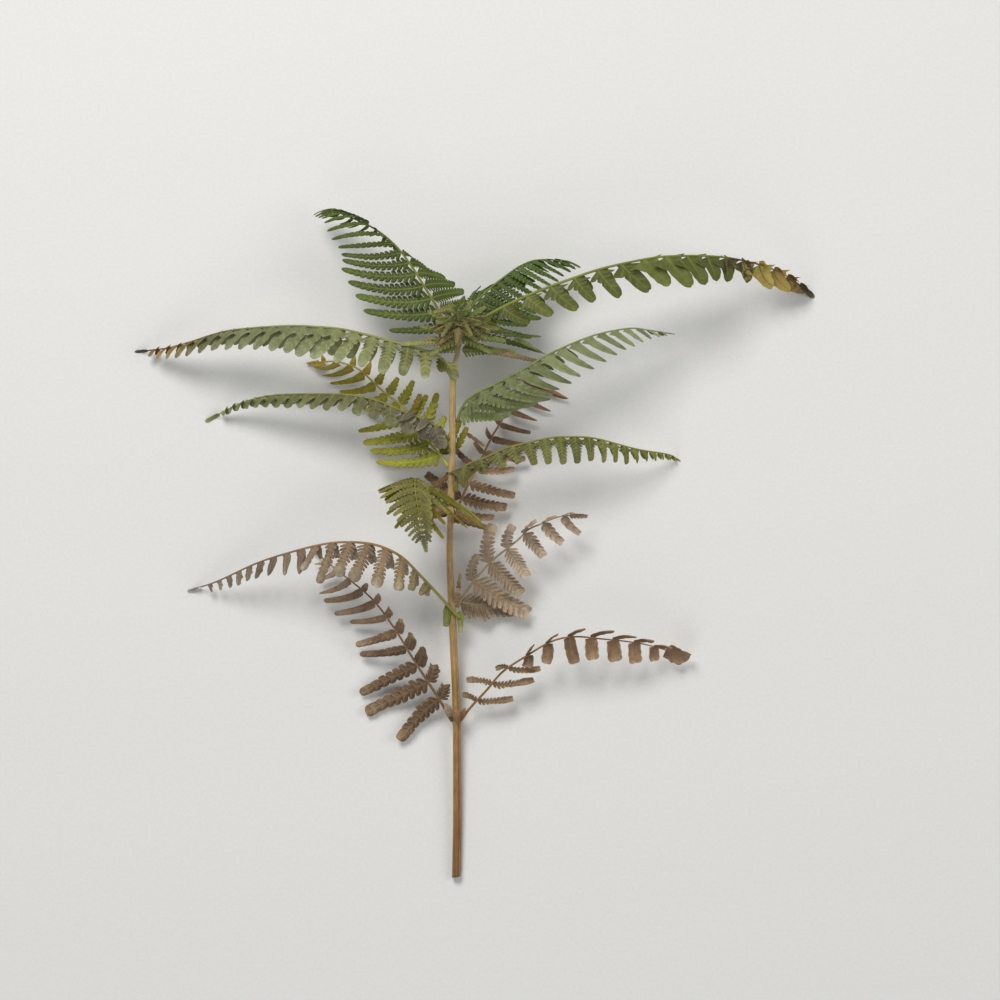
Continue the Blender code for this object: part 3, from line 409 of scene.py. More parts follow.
# Small leaflets that stand apart from the even rows: for each piece, the root and the tip of
# each, its width, its lobes, what is left between them, its roll and where it takes its colour.
Stray = namedtuple("Stray", "root tip width lobes sinus roll out")
STRAYS = {
    "pinna_1_left": [
        Stray((-5, 162, 21), (-11, 176, 24), 11, 0, 1, 10, 1.0),
    ],
    "pinna_1_right": [
        Stray((1, 157, 23.5), (0, 170, 25), 11, 0, 1, 0, 1.0),
        Stray((5, 161, 18), (9, 171, 21), 8, 0, 1, -20, 1.0),
    ],
    "pinna_2_left": [
        Stray((-8, 276, 29), (-10.5, 253, 25), 11, 2, 0.85, 0, 0),
        Stray((4, 269, 27), (4.5, 247, 24), 9, 2, 0.85, 10, 0),
    ],
    "pinna_2_right": [
        Stray((2, 288, 28), (4, 307, 33), 5, 3, 0.6, 0, 0.1),
    ],
    "pinna_3_left": [
        Stray((-16, 390, 114), (19, 363, 104), 2.2, 10, 0.6, 10, 0.6),
        Stray((-14, 384, 112), (30, 351, 98), 2.2, 12, 0.6, -10, 0.7),
        Stray((-20, 382, 114), (12, 352, 102), 2, 9, 0.6, 20, 0.6),
        Stray((-26, 392, 116), (4, 372, 110), 4, 9, 0.5, 0, 0.8),
        Stray((-36, 392, 118), (-6, 366, 112), 5, 10, 0.5, 10, 0.9),
        Stray((-38, 386, 119), (-10, 356, 110), 5, 10, 0.5, -10, 0.5),
        Stray((-38, 376, 118), (-12, 342, 104), 5, 10, 0.5, 0, 0.7),
        Stray((-40, 396, 116), (-70, 380, 112), 5, 10, 0.5, 10, 0.6),
        Stray((-40, 388, 116), (-68, 366, 108), 5, 10, 0.5, 0, 0.8),
        Stray((-38, 378, 116), (-60, 352, 106), 5, 9, 0.5, -10, 0.5),
    ],
    "pinna_3_right": [
        Stray((65, 504, 10), (113, 482, 8), 7, 0, 1, 20, 0.9),
        Stray((10, 447, 40), (29, 434, 38), 5, 3, 0.6, 0, 0.6),
        Stray((-2, 362, 42), (34, 351, 40), 9, 6, 0.6, 10, 0.2),
        Stray((-8, 404, 30), (-32, 387, 26), 8, 5, 0.5, 0, 0.4),
        Stray((-8, 370, 32), (-29, 360, 28), 8, 4, 0.5, 0, 0.1),
    ],
    "pinna_4_left": [
        Stray((0, 431, 30), (11, 453, 30), 10, 4, 0.5, 0, 0.3),
        Stray((-44, 466, 31), (-36, 486, 36), 10, 4, 0.5, 20, 1.0),
    ],
    "pinna_5_left": [
        Stray((-42, 468, 66), (-56, 459, 64), 10, 0, 1, 20, 0),
        Stray((-28, 461, 64), (-40, 449, 62), 10, 0, 1, 0, 0.02),
        Stray((-12, 450, 58), (-22, 438, 56), 10, 0, 1, -20, 0),
    ],
    "frond_tip": [
        Stray((2, 539, 76), (-55, 535, 74), 9, 15, 0.4, 20, 0.5),
        Stray((2, 532, 74), (-32, 526, 70), 7, 9, 0.45, 0, 0.7),
        Stray((9, 535, 66), (89, 517, 60), 7, 22, 0.45, 0, 0.05),
        Stray((58, 541, 66), (90, 525, 62), 3, 0, 1, 0, 0.7),
        Stray((60, 543, 68), (77, 534, 64), 2.5, 0, 1, 0, 0.9),
        Stray((47, 545, 66), (85, 543, 62), 4, 8, 0.6, 0, 0.8),
        Stray((6, 530, 68), (59, 528, 64), 10, 14, 0.4, 20, 0.7),
        Stray((-2, 560, 96), (-14, 542, 92), 7, 5, 0.45, 0, 0.45),
        Stray((6, 562, 98), (16, 543, 92), 7, 5, 0.45, 20, 0.4),
        Stray((0, 572, 100), (-22, 566, 96), 7, 7, 0.45, 0, 0.4),
        Stray((6, 552, 90), (26, 556, 86), 7, 7, 0.45, 10, 0.4),
        Stray((-2, 545, 84), (-36, 553, 80), 8, 9, 0.35, 10, 0.7),
        Stray((0, 552, 88), (-28, 568, 84), 8, 7, 0.35, -20, 0.85),
        Stray((4, 556, 90), (30, 572, 86), 8, 9, 0.45, 10, 0.7),
        Stray((8, 550, 84), (44, 551, 78), 9, 9, 0.35, -10, 0.8),
        Stray((8, 546, 80), (50, 538, 74), 9, 10, 0.35, 10, 0.9),
        Stray((6, 542, 78), (36, 526, 74), 8, 8, 0.35, 20, 0.65),
        Stray((2, 541, 80), (-26, 524, 76), 8, 7, 0.35, -20, 0.5),
        Stray((0, 548, 90), (-20, 546, 88), 6, 5, 0.4, 30, 0.35),
        Stray((4, 560, 94), (16, 578, 92), 7, 7, 0.5, 0, 0.6),
        Stray((-3, 540, 78), (-30, 541, 76), 6, 7, 0.4, 30, 0.3),
        Stray((2, 556, 92), (-20, 556, 88), 7, 6, 0.4, 10, 0.5),
        Stray((3, 553, 95), (-8, 566, 92), 7, 5, 0.45, 0, 0.3),
        Stray((4, 553, 95), (17, 562, 92), 7, 5, 0.45, 10, 0.4),
        Stray((3, 551, 94), (1, 536, 88), 7, 6, 0.45, 0, 0.15),
        Stray((6, 549, 88), (22, 538, 84), 7, 5, 0.45, 0, 0.5),
        Stray((0, 549, 88), (-17, 535, 84), 7, 7, 0.45, 0, 0.1),
    ],
}

# What each point of a piece tells its material: its share of the way from a leaflet's rib to the
# edge, a count of side veins, its share of the way along the leaflet, the share along the pinna
# where its leaflet sits, a number drawn for its leaflet, and 1 where it is on the underside. On
# the stem, across is 1 on the skin and 0 in the pith, vein is the share of the way round it and
# out is the share of the way up it.
MARKS = ("across", "vein", "reach", "out", "pick", "under")
BLADE, RIB = 0, 1  # the places of a pinna's two materials

# Where a leaflet's points sit: along its tip past the lobes, along a plain leaflet, and across it
# from edge to edge.
TIP_COLUMNS = np.array([0.0, 0.16, 0.32, 0.48, 0.64, 0.78, 0.89, 0.96, 0.995])
PLAIN_COLUMNS = np.array([0, 0.04, 0.1, 0.2, 0.32, 0.44, 0.56, 0.68, 0.78, 0.86, 0.92, 0.965, 0.99,
                          0.998])
ROWS = np.array([-1, -0.82, -0.45, 0, 0.45, 0.82, 1])

# Every leaflet, in millimetres or in shares of its length, width or thickness.
LEAF_THICKNESS = 0.32
EDGE_THINNER = 0.4
ROLL_IN = 0.3  # a leaflet rolls to its own angle over this stretch
FLAT_ROOT = 0.35  # and it is flat where it joins the midrib, before this stretch ends
WAVE_HEIGHT = 0.07  # of a leaflet that waves, as a share of half its width
TWIST_HEIGHT = 0.06
REACH_VARIES = (0.97, 1.03)
ROLL_VARIES = (-5, 5)
BEND_AT = 0.45  # where it bends from square to the midrib to its own direction
RIB_RADIUS = 0.2
RIB_GROWS = 0.05  # how much wider its rib gets with half its width
RIB_TAPER = 0.7
RIB_END = 0.97
RIB_SINKS = 0.08  # how deep the rib sinks into the blade

# A lobed leaflet.
LOBE_GAP = 0.8  # between two lobes
GAP_SHARES = (0.08, 0.25)  # the least and the most of a lobe that a gap takes up
LOBE_LEAN = 0.5  # how far its lobes lean towards its tip
LOBE_ROUNDING = 5  # the power that rounds a lobe: the higher, the squarer
SHORTEST_LOBE, LONGEST_LOBE = 0.9, 1.08
SHRIVEL = 0.2  # how much shorter still the shortest one may be on a withered, wavy leaflet
TIP_NARROWER = 0.25

# A plain leaflet.
VEIN_SPACING = 1.7
PLAIN_LEAN = 0.18
PLAIN_TAPER = 0.8
EDGE_WAVE = 0.06
EDGE_WAVE_LENGTHS = (7, 8)  # one for each edge

# A pinna's own midrib, its costa.
COSTA_ROOT = 3.0  # how far it goes back into the stem
COSTA_RINGS = 90
COSTA_SIDES = 10
COSTA_TAPER = 0.55
COSTA_SWELL = 0.35  # at its root
COSTA_GROOVE = 0.22  # how deep the groove on its upper side is
COSTA_GROOVE_WIDTH = 0.35  # in radians round it

# The leaflets that differ from their pinna's others.
TIPWARD_NECK = 0.8  # the widest root that a tipward leaflet has
STRAY_ARCH = 0.08  # how high a stray leaflet arches, as a share of its length
SPRIG_LOBES = 5  # a stray with no more lobes than this is a sprig of its own kind
BROAD = 10  # an end leaflet wider than this has no lobes
END_LOBES = 5
END_SINUS = 0.6
END_NECK = 0.9
END_FULL = 1.1
END_BLUNT = 3.5  # at most


def keyed(values, share):
    """The value at a share from 0 to 1 of a list of evenly spread values."""
    return float(np.interp(share, np.linspace(0, 1, len(values)), values))


def unit(vectors):
    """Vectors at unit length, along the last axis."""
    return vectors / np.maximum(np.linalg.norm(vectors, axis=-1, keepdims=True), 1e-9)


def square_to(vectors, axis):
    """The part of some vectors that is square to unit axes, at unit length."""
    return unit(vectors - (vectors * axis).sum(-1, keepdims=True) * axis)


def smooth_curve(points):
    """Points evenly spaced along a Catmull-Rom curve through the given ones."""
    p = np.array(points, float)
    p = np.vstack([2 * p[0] - p[1], p, 2 * p[-1] - p[-2]])
    line = []
    for a, b, c, d in zip(p, p[1:], p[2:], p[3:]):
        for t in np.linspace(0, 1, SPAN_SAMPLES, endpoint=False):
            line.append(0.5 * (2 * b + (c - a) * t + (2 * a - 5 * b + 4 * c - d) * t**2
                               + (3 * b - a - 3 * c + d) * t**3))
    line = np.array(line + [p[-2]])
    steps = np.linalg.norm(np.diff(line[:, :3], axis=0), axis=1)
    along = np.concatenate([[0], np.cumsum(steps)])
    even = np.linspace(0, along[-1], CURVE_SAMPLES)
    return np.column_stack([np.interp(even, along, column) for column in line.T])


def at_share(line, share):
    """(point, direction) at a share of an evenly spaced line."""
    where = share * (len(line) - 1)
    i = min(max(int(where), 0), len(line) - 2)
    point = line[i] + (line[i + 1] - line[i]) * (where - i)
    ahead = line[min(i + 3, len(line) - 1)] - line[max(i - 2, 0)]
    return point[:3], unit(ahead[:3])


def above_surface(points, half_thickness):
    """Keeps points over the surface: they level out softly where they would go through."""
    start = half_thickness + SOFT_LANDING
    sunk = half_thickness + SOFT_LANDING * np.exp(
        np.minimum(points[..., 2] - start, 0) / SOFT_LANDING)
    lifted = points.copy()
    lifted[..., 2] = np.where(points[..., 2] >= start, points[..., 2], sunk)
    return lifted


def reach_vector(side, share):
    """The vector from a leaflet's root to its tip."""
    reach, turn = keyed(side.reach, share), math.radians(keyed(side.angle, share))
    return np.array([reach * math.cos(turn), reach * math.sin(turn), keyed(side.lift, share)])


def tipward_direction(pinna, along, share):
    """The unit vector square to the midrib that points to the tipward leaflets."""
    both = unit(reach_vector(pinna.tipward, share)) - unit(reach_vector(pinna.baseward, share))
    return square_to(both, along)


def marked(shape, **told):
    """The marks of some points, each given by its name. The ones that aren't given are 0."""
    marks = np.zeros((*shape, len(MARKS)))
    for name, values in told.items():
        marks[..., MARKS.index(name)] = values
    return marks


class Growth:
    """Gathers the points and four-sided faces of one piece, with what they tell the materials."""

    def __init__(self):
        self.points, self.faces, self.parts, self.marks = [], [], [], []
        self.count = 0

    def add(self, points, faces, part, marks, turned):
        """Adds a closed shape. turned is for one whose faces were listed facing in."""
        faces = np.array(faces) + self.count
        self.faces.append(faces[:, ::-1] if turned else faces)
        self.parts.append(np.full(len(faces), part))
        self.points.append(points.reshape(-1, 3))
        self.marks.append(marks.reshape(-1, len(MARKS)))
        self.count += len(self.marks[-1])

    def finish(self, name, node, slot, materials):
        """Makes the piece that stands for a node of the frame."""
        points = np.concatenate(self.points)
        points[:, 2] = np.maximum(points[:, 2], LOWEST)
        data = bpy.data.meshes.new(name)
        data.from_pydata((BASE + points * MM).tolist(), [], np.concatenate(self.faces).tolist())
        data.shade_smooth()
        for material in materials:
            data.materials.append(material)
        data.polygons.foreach_set("material_index", np.concatenate(self.parts))
        marks = np.concatenate(self.marks).astype(np.float32)
        for mark, values in zip(MARKS, marks.T):
            data.attributes.new(mark, "FLOAT", "POINT").data.foreach_set("value", values.copy())
        data.update()
        piece = bpy.data.objects.new(name, data)
        bpy.context.scene.collection.objects.link(piece)
        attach(piece, "root")
        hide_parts(node)
        return piece


def net(rows, columns, ring):
    """The faces of a net of points. As a ring, its last column joins its first."""
    i, j = np.meshgrid(np.arange(rows - 1), np.arange(columns - (not ring)), indexing="ij")
    after = (j + 1) % columns
    corners = [i * columns + j, (i + 1) * columns + j, (i + 1) * columns + after,
               i * columns + after]
    return np.stack(corners, axis=-1).reshape(-1, 4)


def lid(first, sides, turned):
    """The faces that close a ring with an even count of points."""
    faces = [(first, first + k, first + k + 1, first + k + 2) for k in range(1, sides - 2, 2)]
    return [face[::-1] for face in faces] if turned else faces


def round_turns(sides):
    """The angles of a ring's corners."""
    return math.tau * (np.arange(sides) + 0.5) / sides


def grow_rod(growth, line, across, facing, radii, shape, part, marks, turned):
    """A rod round a line. shape holds each corner's share of the radius."""
    sides = shape.shape[-1]
    turns = round_turns(sides)
    out = (np.cos(turns)[None, :, None] * across[:, None]
           + np.sin(turns)[None, :, None] * facing[:, None])
    points = line[:, None] + out * (radii[:, None] * shape)[..., None]
    faces = net(len(line), sides, ring=True)[:, ::-1].tolist()
    faces += lid(0, sides, turned=True) + lid((len(line) - 1) * sides, sides, turned=False)
    marks = np.broadcast_to(marks[:, None], (len(line), sides, len(MARKS)))
    growth.add(points, faces, part, marks, turned)


def edge_margin(phase, share, deep, gap, lengths):
    """How far a lobed edge stands out, as a share of the blade: full on lobes, less between."""
    deep = deep + (1 - deep) * share**3
    from_middle = np.abs(2 * (phase % 1) - 1) / (1 - gap)
    lobe = np.sqrt(np.maximum(1 - from_middle**LOBE_ROUNDING, 0))
    grown = lengths[np.minimum(phase.astype(int), len(lengths) - 1)]
    return deep + (1 - deep) * lobe * grown


def lobed_outline(length, lobes, sinus, habit, chance):
    """A lobed leaflet's outline: where its points sit along it, its count of lobes there, how far
    its two edges stand out, and how near each point is to the middle of its lobe."""
    zone = habit.lobed
    gap = float(np.clip(LOBE_GAP * lobes / (zone * length), *GAP_SHARES))
    columns = np.array([0, gap / 2, gap / 2 + 0.05, 0.3, 0.5, 0.7, 0.95 - gap / 2, 1 - gap / 2])
    phase = (np.arange(lobes)[:, None] + columns).ravel()
    t = np.concatenate([phase / lobes * zone, zone + (1 - zone) * TIP_COLUMNS])
    phase = np.concatenate([phase, lobes + TIP_COLUMNS * 2])
    lobed = np.clip(t / zone, 0, 1)
    tip = np.clip((t - zone) / (1 - zone), 0, 1)
    outline = (1 - habit.taper * lobed) * (1 - TIP_NARROWER * tip) * (1 - tip**habit.blunt) ** 0.5
    shortest = SHORTEST_LOBE - SHRIVEL * habit.wave
    margins = []
    for _ in range(2):
        lengths = np.array([chance.uniform(shortest, LONGEST_LOBE) for _ in range(lobes + 1)])
        bumpy = edge_margin(phase, lobed, sinus, gap, lengths)
        margins.append(outline * np.where(t < zone, bumpy, 1))
    crest = np.where(t < zone, 1 - (2 * (phase % 1) - 1) ** 2, 0.5)
    return t, phase, margins, crest


def plain_outline(length, habit, chance):
    """The outline of a leaflet with no lobes, whose edges wander a little. It says the same things
    as a lobed one's, with its side veins counted where that counts lobes."""
    t = PLAIN_COLUMNS
    outline = (1 - PLAIN_TAPER * habit.taper * t) * (1 - t**habit.blunt) ** 0.5
    start = chance.uniform(0, 1)
    margins = [outline * (1 + EDGE_WAVE * np.sin(math.tau * (t * length / wave + begin)))
               for wave, begin in zip(EDGE_WAVE_LENGTHS, (start, -start))]
    return t, t * length / VEIN_SPACING, margins, np.ones(len(t))


# One leaflet: its root, the point that its rib bends towards, its tip, a direction that lies in
# it, its width, roll, lobes and sinus, whether its faces turn the other way, 1 where its upper
# side faces up and -1 where it faces down, where it sits along the pinna and the number drawn for
# it.
Blade = namedtuple("Blade", "root bend tip flat width roll lobes sinus turned face out pick")


def grow_blade(growth, blade, habit, chance):
    """One leaflet: a thin blade, bent along a curve from its root to its tip, and its rib."""
    length = float(np.linalg.norm(blade.tip - blade.root))
    half = blade.width * habit.full / 2
    lobes = round(blade.lobes)
    if lobes:
        t, phase, margins, crest = lobed_outline(length, lobes, blade.sinus, habit, chance)
        bulge_width = habit.lobed * length / lobes
        lean = LOBE_LEAN
    else:
        t, phase, margins, crest = plain_outline(length, habit, chance)
        bulge_width = half
        lean = PLAIN_LEAN
    # It reaches its full width a little further on than that width.
    near_root = np.clip(t * length / (1.5 * half + 1), 0, 1)
    neck = habit.neck + (1 - habit.neck) * near_root * (2 - near_root)

    # The curve of its rib, with the directions across the blade and out of its upper face.
    k = t[:, None]
    line = blade.root * (1 - k) ** 2 + blade.bend * 2 * k * (1 - k) + blade.tip * k**2
    line = above_surface(line, LEAF_THICKNESS)
    heading = unit((blade.bend - blade.root) * (1 - k) + (blade.tip - blade.bend) * k)
    flat = square_to(np.broadcast_to(blade.flat, heading.shape), heading)
    roll = math.radians(blade.roll) * np.minimum(k / ROLL_IN, 1)
    across = np.cos(roll) * flat + np.sin(roll) * np.cross(heading, flat)
    facing = np.cross(heading, across) * (-1 if blade.turned else 1)

    # Its halves fold up along the rib, its edges roll under, and it bulges between its veins.
    share = np.abs(ROWS)
    margin = np.where(ROWS > 0, margins[0][:, None], margins[1][:, None]) * neck[:, None] * half
    folded = habit.fold * share * margin - habit.curl * margin * share**3
    bulged = habit.crown * bulge_width * crest[:, None] * share * (1.1 - share)
    # It waves along its edges, and it twists from side to side a little faster than that.
    rhythm = chance.uniform(0.7, 1.6)
    start = chance.uniform(0, 1)
    loose = habit.wave * half
    wave = WAVE_HEIGHT * loose * np.sin(math.tau * (k * rhythm + start))
    twist = TWIST_HEIGHT * loose * np.sin(math.tau * (k * rhythm * 1.7 + start * 3))
    height = blade.face * (folded + bulged) + wave * share**2 + twist * ROWS
    height = height * np.clip(k / FLAT_ROOT, 0.05, 1)

    middle = (line[:, None] + across[:, None] * (ROWS * margin)[..., None]
              + heading[:, None] * (lean * share * margin)[..., None]
              + facing[:, None] * height[..., None])
    middle[..., 2] = np.maximum(middle[..., 2], LOWEST + LEAF_THICKNESS)
    normal = unit(np.cross(np.gradient(middle, axis=0), np.gradient(middle, axis=1)))
    if blade.turned:
        normal = -normal
    thick = normal * (LEAF_THICKNESS / 2 * (1 - EDGE_THINNER * share**2))[:, None]
    layers = np.stack([middle + thick, middle - thick])

    n, rows = len(t), len(ROWS)
    # The sliver added to the count keeps a point on a whole vein on the same side of it.
    marks = marked((2, n, rows), across=share, vein=phase[:, None] + 0.001, reach=k, out=blade.out,
                   pick=blade.pick, under=np.array([blade.face < 0, blade.face > 0])[:, None, None])
    top = net(n, rows, ring=False)
    order = np.arange(n * rows).reshape(n, rows)
    rim = np.concatenate([order[:, 0], order[-1, 1:], order[-2::-1, -1], order[0, -2:0:-1]])
    after = np.roll(rim, -1)
    wall = np.stack([rim, rim + n * rows, after + n * rows, after], axis=-1)
    faces = np.concatenate([top, top[:, ::-1] + n * rows, wall])
    growth.add(layers, faces, BLADE, marks, blade.turned)

    kept = t < RIB_END
    radii = (RIB_RADIUS + RIB_GROWS * half) * (1 - RIB_TAPER * t[kept])
    sunk = facing[kept] * (blade.face * -RIB_SINKS)
    marks = marked(radii.shape, reach=t[kept], out=blade.out, pick=blade.pick)
    grow_rod(growth, line[kept] + sunk, across[kept], facing[kept], radii, np.ones((1, 6)), RIB,
             marks, blade.turned)


def costa_radius(pinna, share):
    """How thick a pinna's midrib is at a share of its length."""
    return pinna.radius * (1 - COSTA_TAPER * share)


def grow_costa(growth, pinna, line, pair_shares, last):
    """The pinna's own midrib, with a groove along its upper side, carried back into the stem."""
    shares = np.linspace(0, last, COSTA_RINGS)
    u = np.interp(shares, pair_shares, np.linspace(0, 1, len(pair_shares)))
    centres, along = map(np.array, zip(*(at_share(line, share) for share in shares)))
    sideways = np.array([tipward_direction(pinna, a, s) for a, s in zip(along, u)])
    radii = costa_radius(pinna, shares) * (1 + COSTA_SWELL * np.exp(-((shares * 40) ** 2)))
    back = centres[0] - along[0] * COSTA_ROOT
    centres = np.vstack([back, above_surface(centres, pinna.radius)])
    along, sideways = np.vstack([along[:1], along]), np.vstack([sideways[:1], sideways])
    radii = np.concatenate([radii[:1], radii])
    facing = np.cross(sideways, along)
    from_top = (round_turns(COSTA_SIDES) - math.pi / 2) / COSTA_GROOVE_WIDTH
    shape = 1 - COSTA_GROOVE * np.exp(-(from_top**2))[None, :]
    marks = marked(radii.shape, out=np.concatenate([[0], shares]), pick=0.5)
    grow_rod(growth, centres, sideways, facing, radii, shape, RIB, marks, True)


def grow_pinna(pinna):
    """One pinna: its midrib, its pairs of leaflets, its end leaflet and its strays."""
    chance = random.Random(pinna.name)
    line = smooth_curve(pinna.path)
    growth = Growth()
    face = -1 if pinna.pale else 1
    tipward_habit = pinna.habit._replace(neck=min(pinna.habit.neck, TIPWARD_NECK))
    pair_shares = []
    for i in range(pinna.pairs):
        u = i / (pinna.pairs - 1)
        share = pinna.first + (pinna.last - pinna.first) * (u + pinna.crowd * u * (1 - u))
        pair_shares.append(share)
        centre, along = at_share(line, share)
        radius = costa_radius(pinna, share)
        centre = above_surface(centre, radius)
        sideways = tipward_direction(pinna, along, u)
        for side, outward, turned, habit in (
            (pinna.tipward, sideways, False, tipward_habit),
            (pinna.baseward, -sideways, True, pinna.habit),
        ):
            reach = reach_vector(side, u) * chance.uniform(*REACH_VARIES)
            # It starts halfway inside the midrib.
            root = centre + outward * radius * 0.5
            bend = root + unit(outward + unit(reach)) * np.linalg.norm(reach) * BEND_AT
            roll = keyed(side.roll, u) + chance.uniform(*ROLL_VARIES)
            grow_blade(growth, Blade(
                root, bend, root + reach, along - 0.25 * outward, keyed(side.width, u), roll,
                keyed(side.lobes, u), keyed(side.sinus, u), turned, face, share, chance.random(),
            ), habit, chance)
    last = (1 + pinna.last) / 2
    grow_costa(growth, pinna, line, pair_shares, last)

    tip, along = at_share(line, last)
    tip = above_surface(tip, costa_radius(pinna, 1))
    length, width = pinna.end
    end = tip + along * length
    lobes = 0 if width > BROAD else END_LOBES
    habit = pinna.habit._replace(neck=END_NECK, full=END_FULL,
                                 blunt=min(pinna.habit.blunt, END_BLUNT))
    grow_blade(growth, Blade(tip, (tip + end) / 2, end, tipward_direction(pinna, along, 1), width,
                             0, lobes, END_SINUS, True, face, 1, chance.random()),
               habit, chance)

    for stray in STRAYS.get(pinna.name, []):
        root, tip = np.array(stray.root, float), np.array(stray.tip, float)
        level = np.cross([0, 0, 1], unit(tip - root))
        bend = (root + tip) / 2 + np.array([0, 0, STRAY_ARCH * np.linalg.norm(tip - root)])
        habit = SPRIG if stray.lobes <= SPRIG_LOBES else pinna.habit
        grow_blade(growth, Blade(root, bend, tip, level, stray.width, stray.roll, stray.lobes,
                                 stray.sinus, False, face, stray.out, chance.random()),
                   habit, chance)
    return growth


def grow_stem():
    """The stalk: a grooved straw rod with swollen joints, torn and hollow at its cut end."""
    chance = random.Random("stem")
    line = smooth_curve(STEM)
    shares = np.linspace(0, 1, STEM_RINGS)
    centres, along = map(np.array, zip(*(at_share(line, share) for share in shares)))
    radii = np.interp(shares, np.linspace(0, 1, len(line)), line[:, 3])
    for y, size, spread in JOINTS:
        radii = radii * (1 + size * np.exp(-(((centres[:, 1] - y) / spread) ** 2)))
    across = square_to(np.broadcast_to(np.array([1.0, 0, 0]), along.shape), along)
    facing = np.cross(across, along)
    turns = round_turns(STEM_SIDES)
    shape = np.ones((STEM_RINGS, STEM_SIDES))
    # The grooves drift a little from side to side on the way up.
    for turn, depth, width in GROOVES:
        gap = (turns - math.radians(turn) + math.pi) % math.tau - math.pi
        drift = 0.1 * np.sin(shares * 9 + turn)[:, None]
        shape -= depth * np.exp(-(((gap[None, :] - drift) / width) ** 2))
    ring = (np.cos(turns)[None, :, None] * across[:, None]
            + np.sin(turns)[None, :, None] * facing[:, None])
    outside = centres[:, None] + ring * (radii[:, None] * shape)[..., None]
    torn = np.array([chance.uniform(*TORN) + SLANT * math.cos(turn) for turn in turns])
    outside[0] += along[0] * torn[:, None]
    outside[1] += along[0] * torn[:, None] * 0.5

    hollow = []
    for share, depth, rough, _ in HOLLOW:
        uneven = np.array([chance.uniform(-rough, rough) for _ in turns])
        inwards = depth + uneven + torn * max(0, share - 0.4)
        hollow.append(centres[0] + ring[0] * radii[0] * share + along[0] * inwards[:, None])
    thin_end = [centres[-1] + ring[-1] * radii[-1] * share + along[-1] * rise
                for share, rise in THIN_END]
    points = np.concatenate([hollow, outside, thin_end])
    n = len(points)
    skin = np.concatenate([[skin for *_, skin in HOLLOW], np.ones(n - len(HOLLOW))])
    out = np.concatenate([np.zeros(len(HOLLOW)), shares, np.ones(len(THIN_END))])
    marks = marked((n, STEM_SIDES), across=skin[:, None], vein=turns / math.tau, out=out[:, None],
                   pick=0.5)
    faces = net(n, STEM_SIDES, ring=True).tolist()
    faces += lid(0, STEM_SIDES, turned=False) + lid((n - 1) * STEM_SIDES, STEM_SIDES, turned=True)
    growth = Growth()
    growth.add(points, faces, BLADE, marks, False)
    return growth


def paint(code):
    """The linear colour of an sRGB hex value."""
    parts = [int(code[k:k + 2], 16) / 255 for k in (0, 2, 4)]
    return (*[c / 12.92 if c <= 0.04045 else ((c + 0.055) / 1.055) ** 2.4 for c in parts], 1)


def add(tree, kind, inputs, **settings):
    """Adds a node with its settings. An input takes a value, or a link where it's given a socket.
    A MapRange's inputs are the value, from low, from high, to low and to high. A Mix's are 0 for
    the share and 6 and 7 for the two colours, and its colour comes out at 2."""
    node = tree.nodes.new("ShaderNode" + kind)
    for name, value in settings.items():
        if name == "stops":
            stops = node.color_ramp.elements
            for place, code in value[2:]:
                stops.new(place)
            for stop, (place, code) in zip(stops, value):
                stop.position = place
                stop.color = paint(code)
        else:
            setattr(node, name, value)
    for key, value in inputs.items():
        if isinstance(value, bpy.types.NodeSocket):
            tree.links.new(value, node.inputs[key])
        else:
            node.inputs[key].default_value = value
    return node.outputs


def new_material(name):
    """An empty node material and its tree."""
    material = bpy.data.materials.new(name)
    material.use_nodes = True
    material.node_tree.nodes.clear()
    return material, material.node_tree


# What a pinna's leaves look like: colours from its root to its tip, the pale colour that comes in
# from edges and leaflet tips and how strongly, which is partly where they dry and partly painted
# highlight, the colour of its veins, the colour of its ribs from root to tip, and how strongly dead
# specks show.
Finish = namedtuple("Finish", "grown wither withered veins ribs specks")

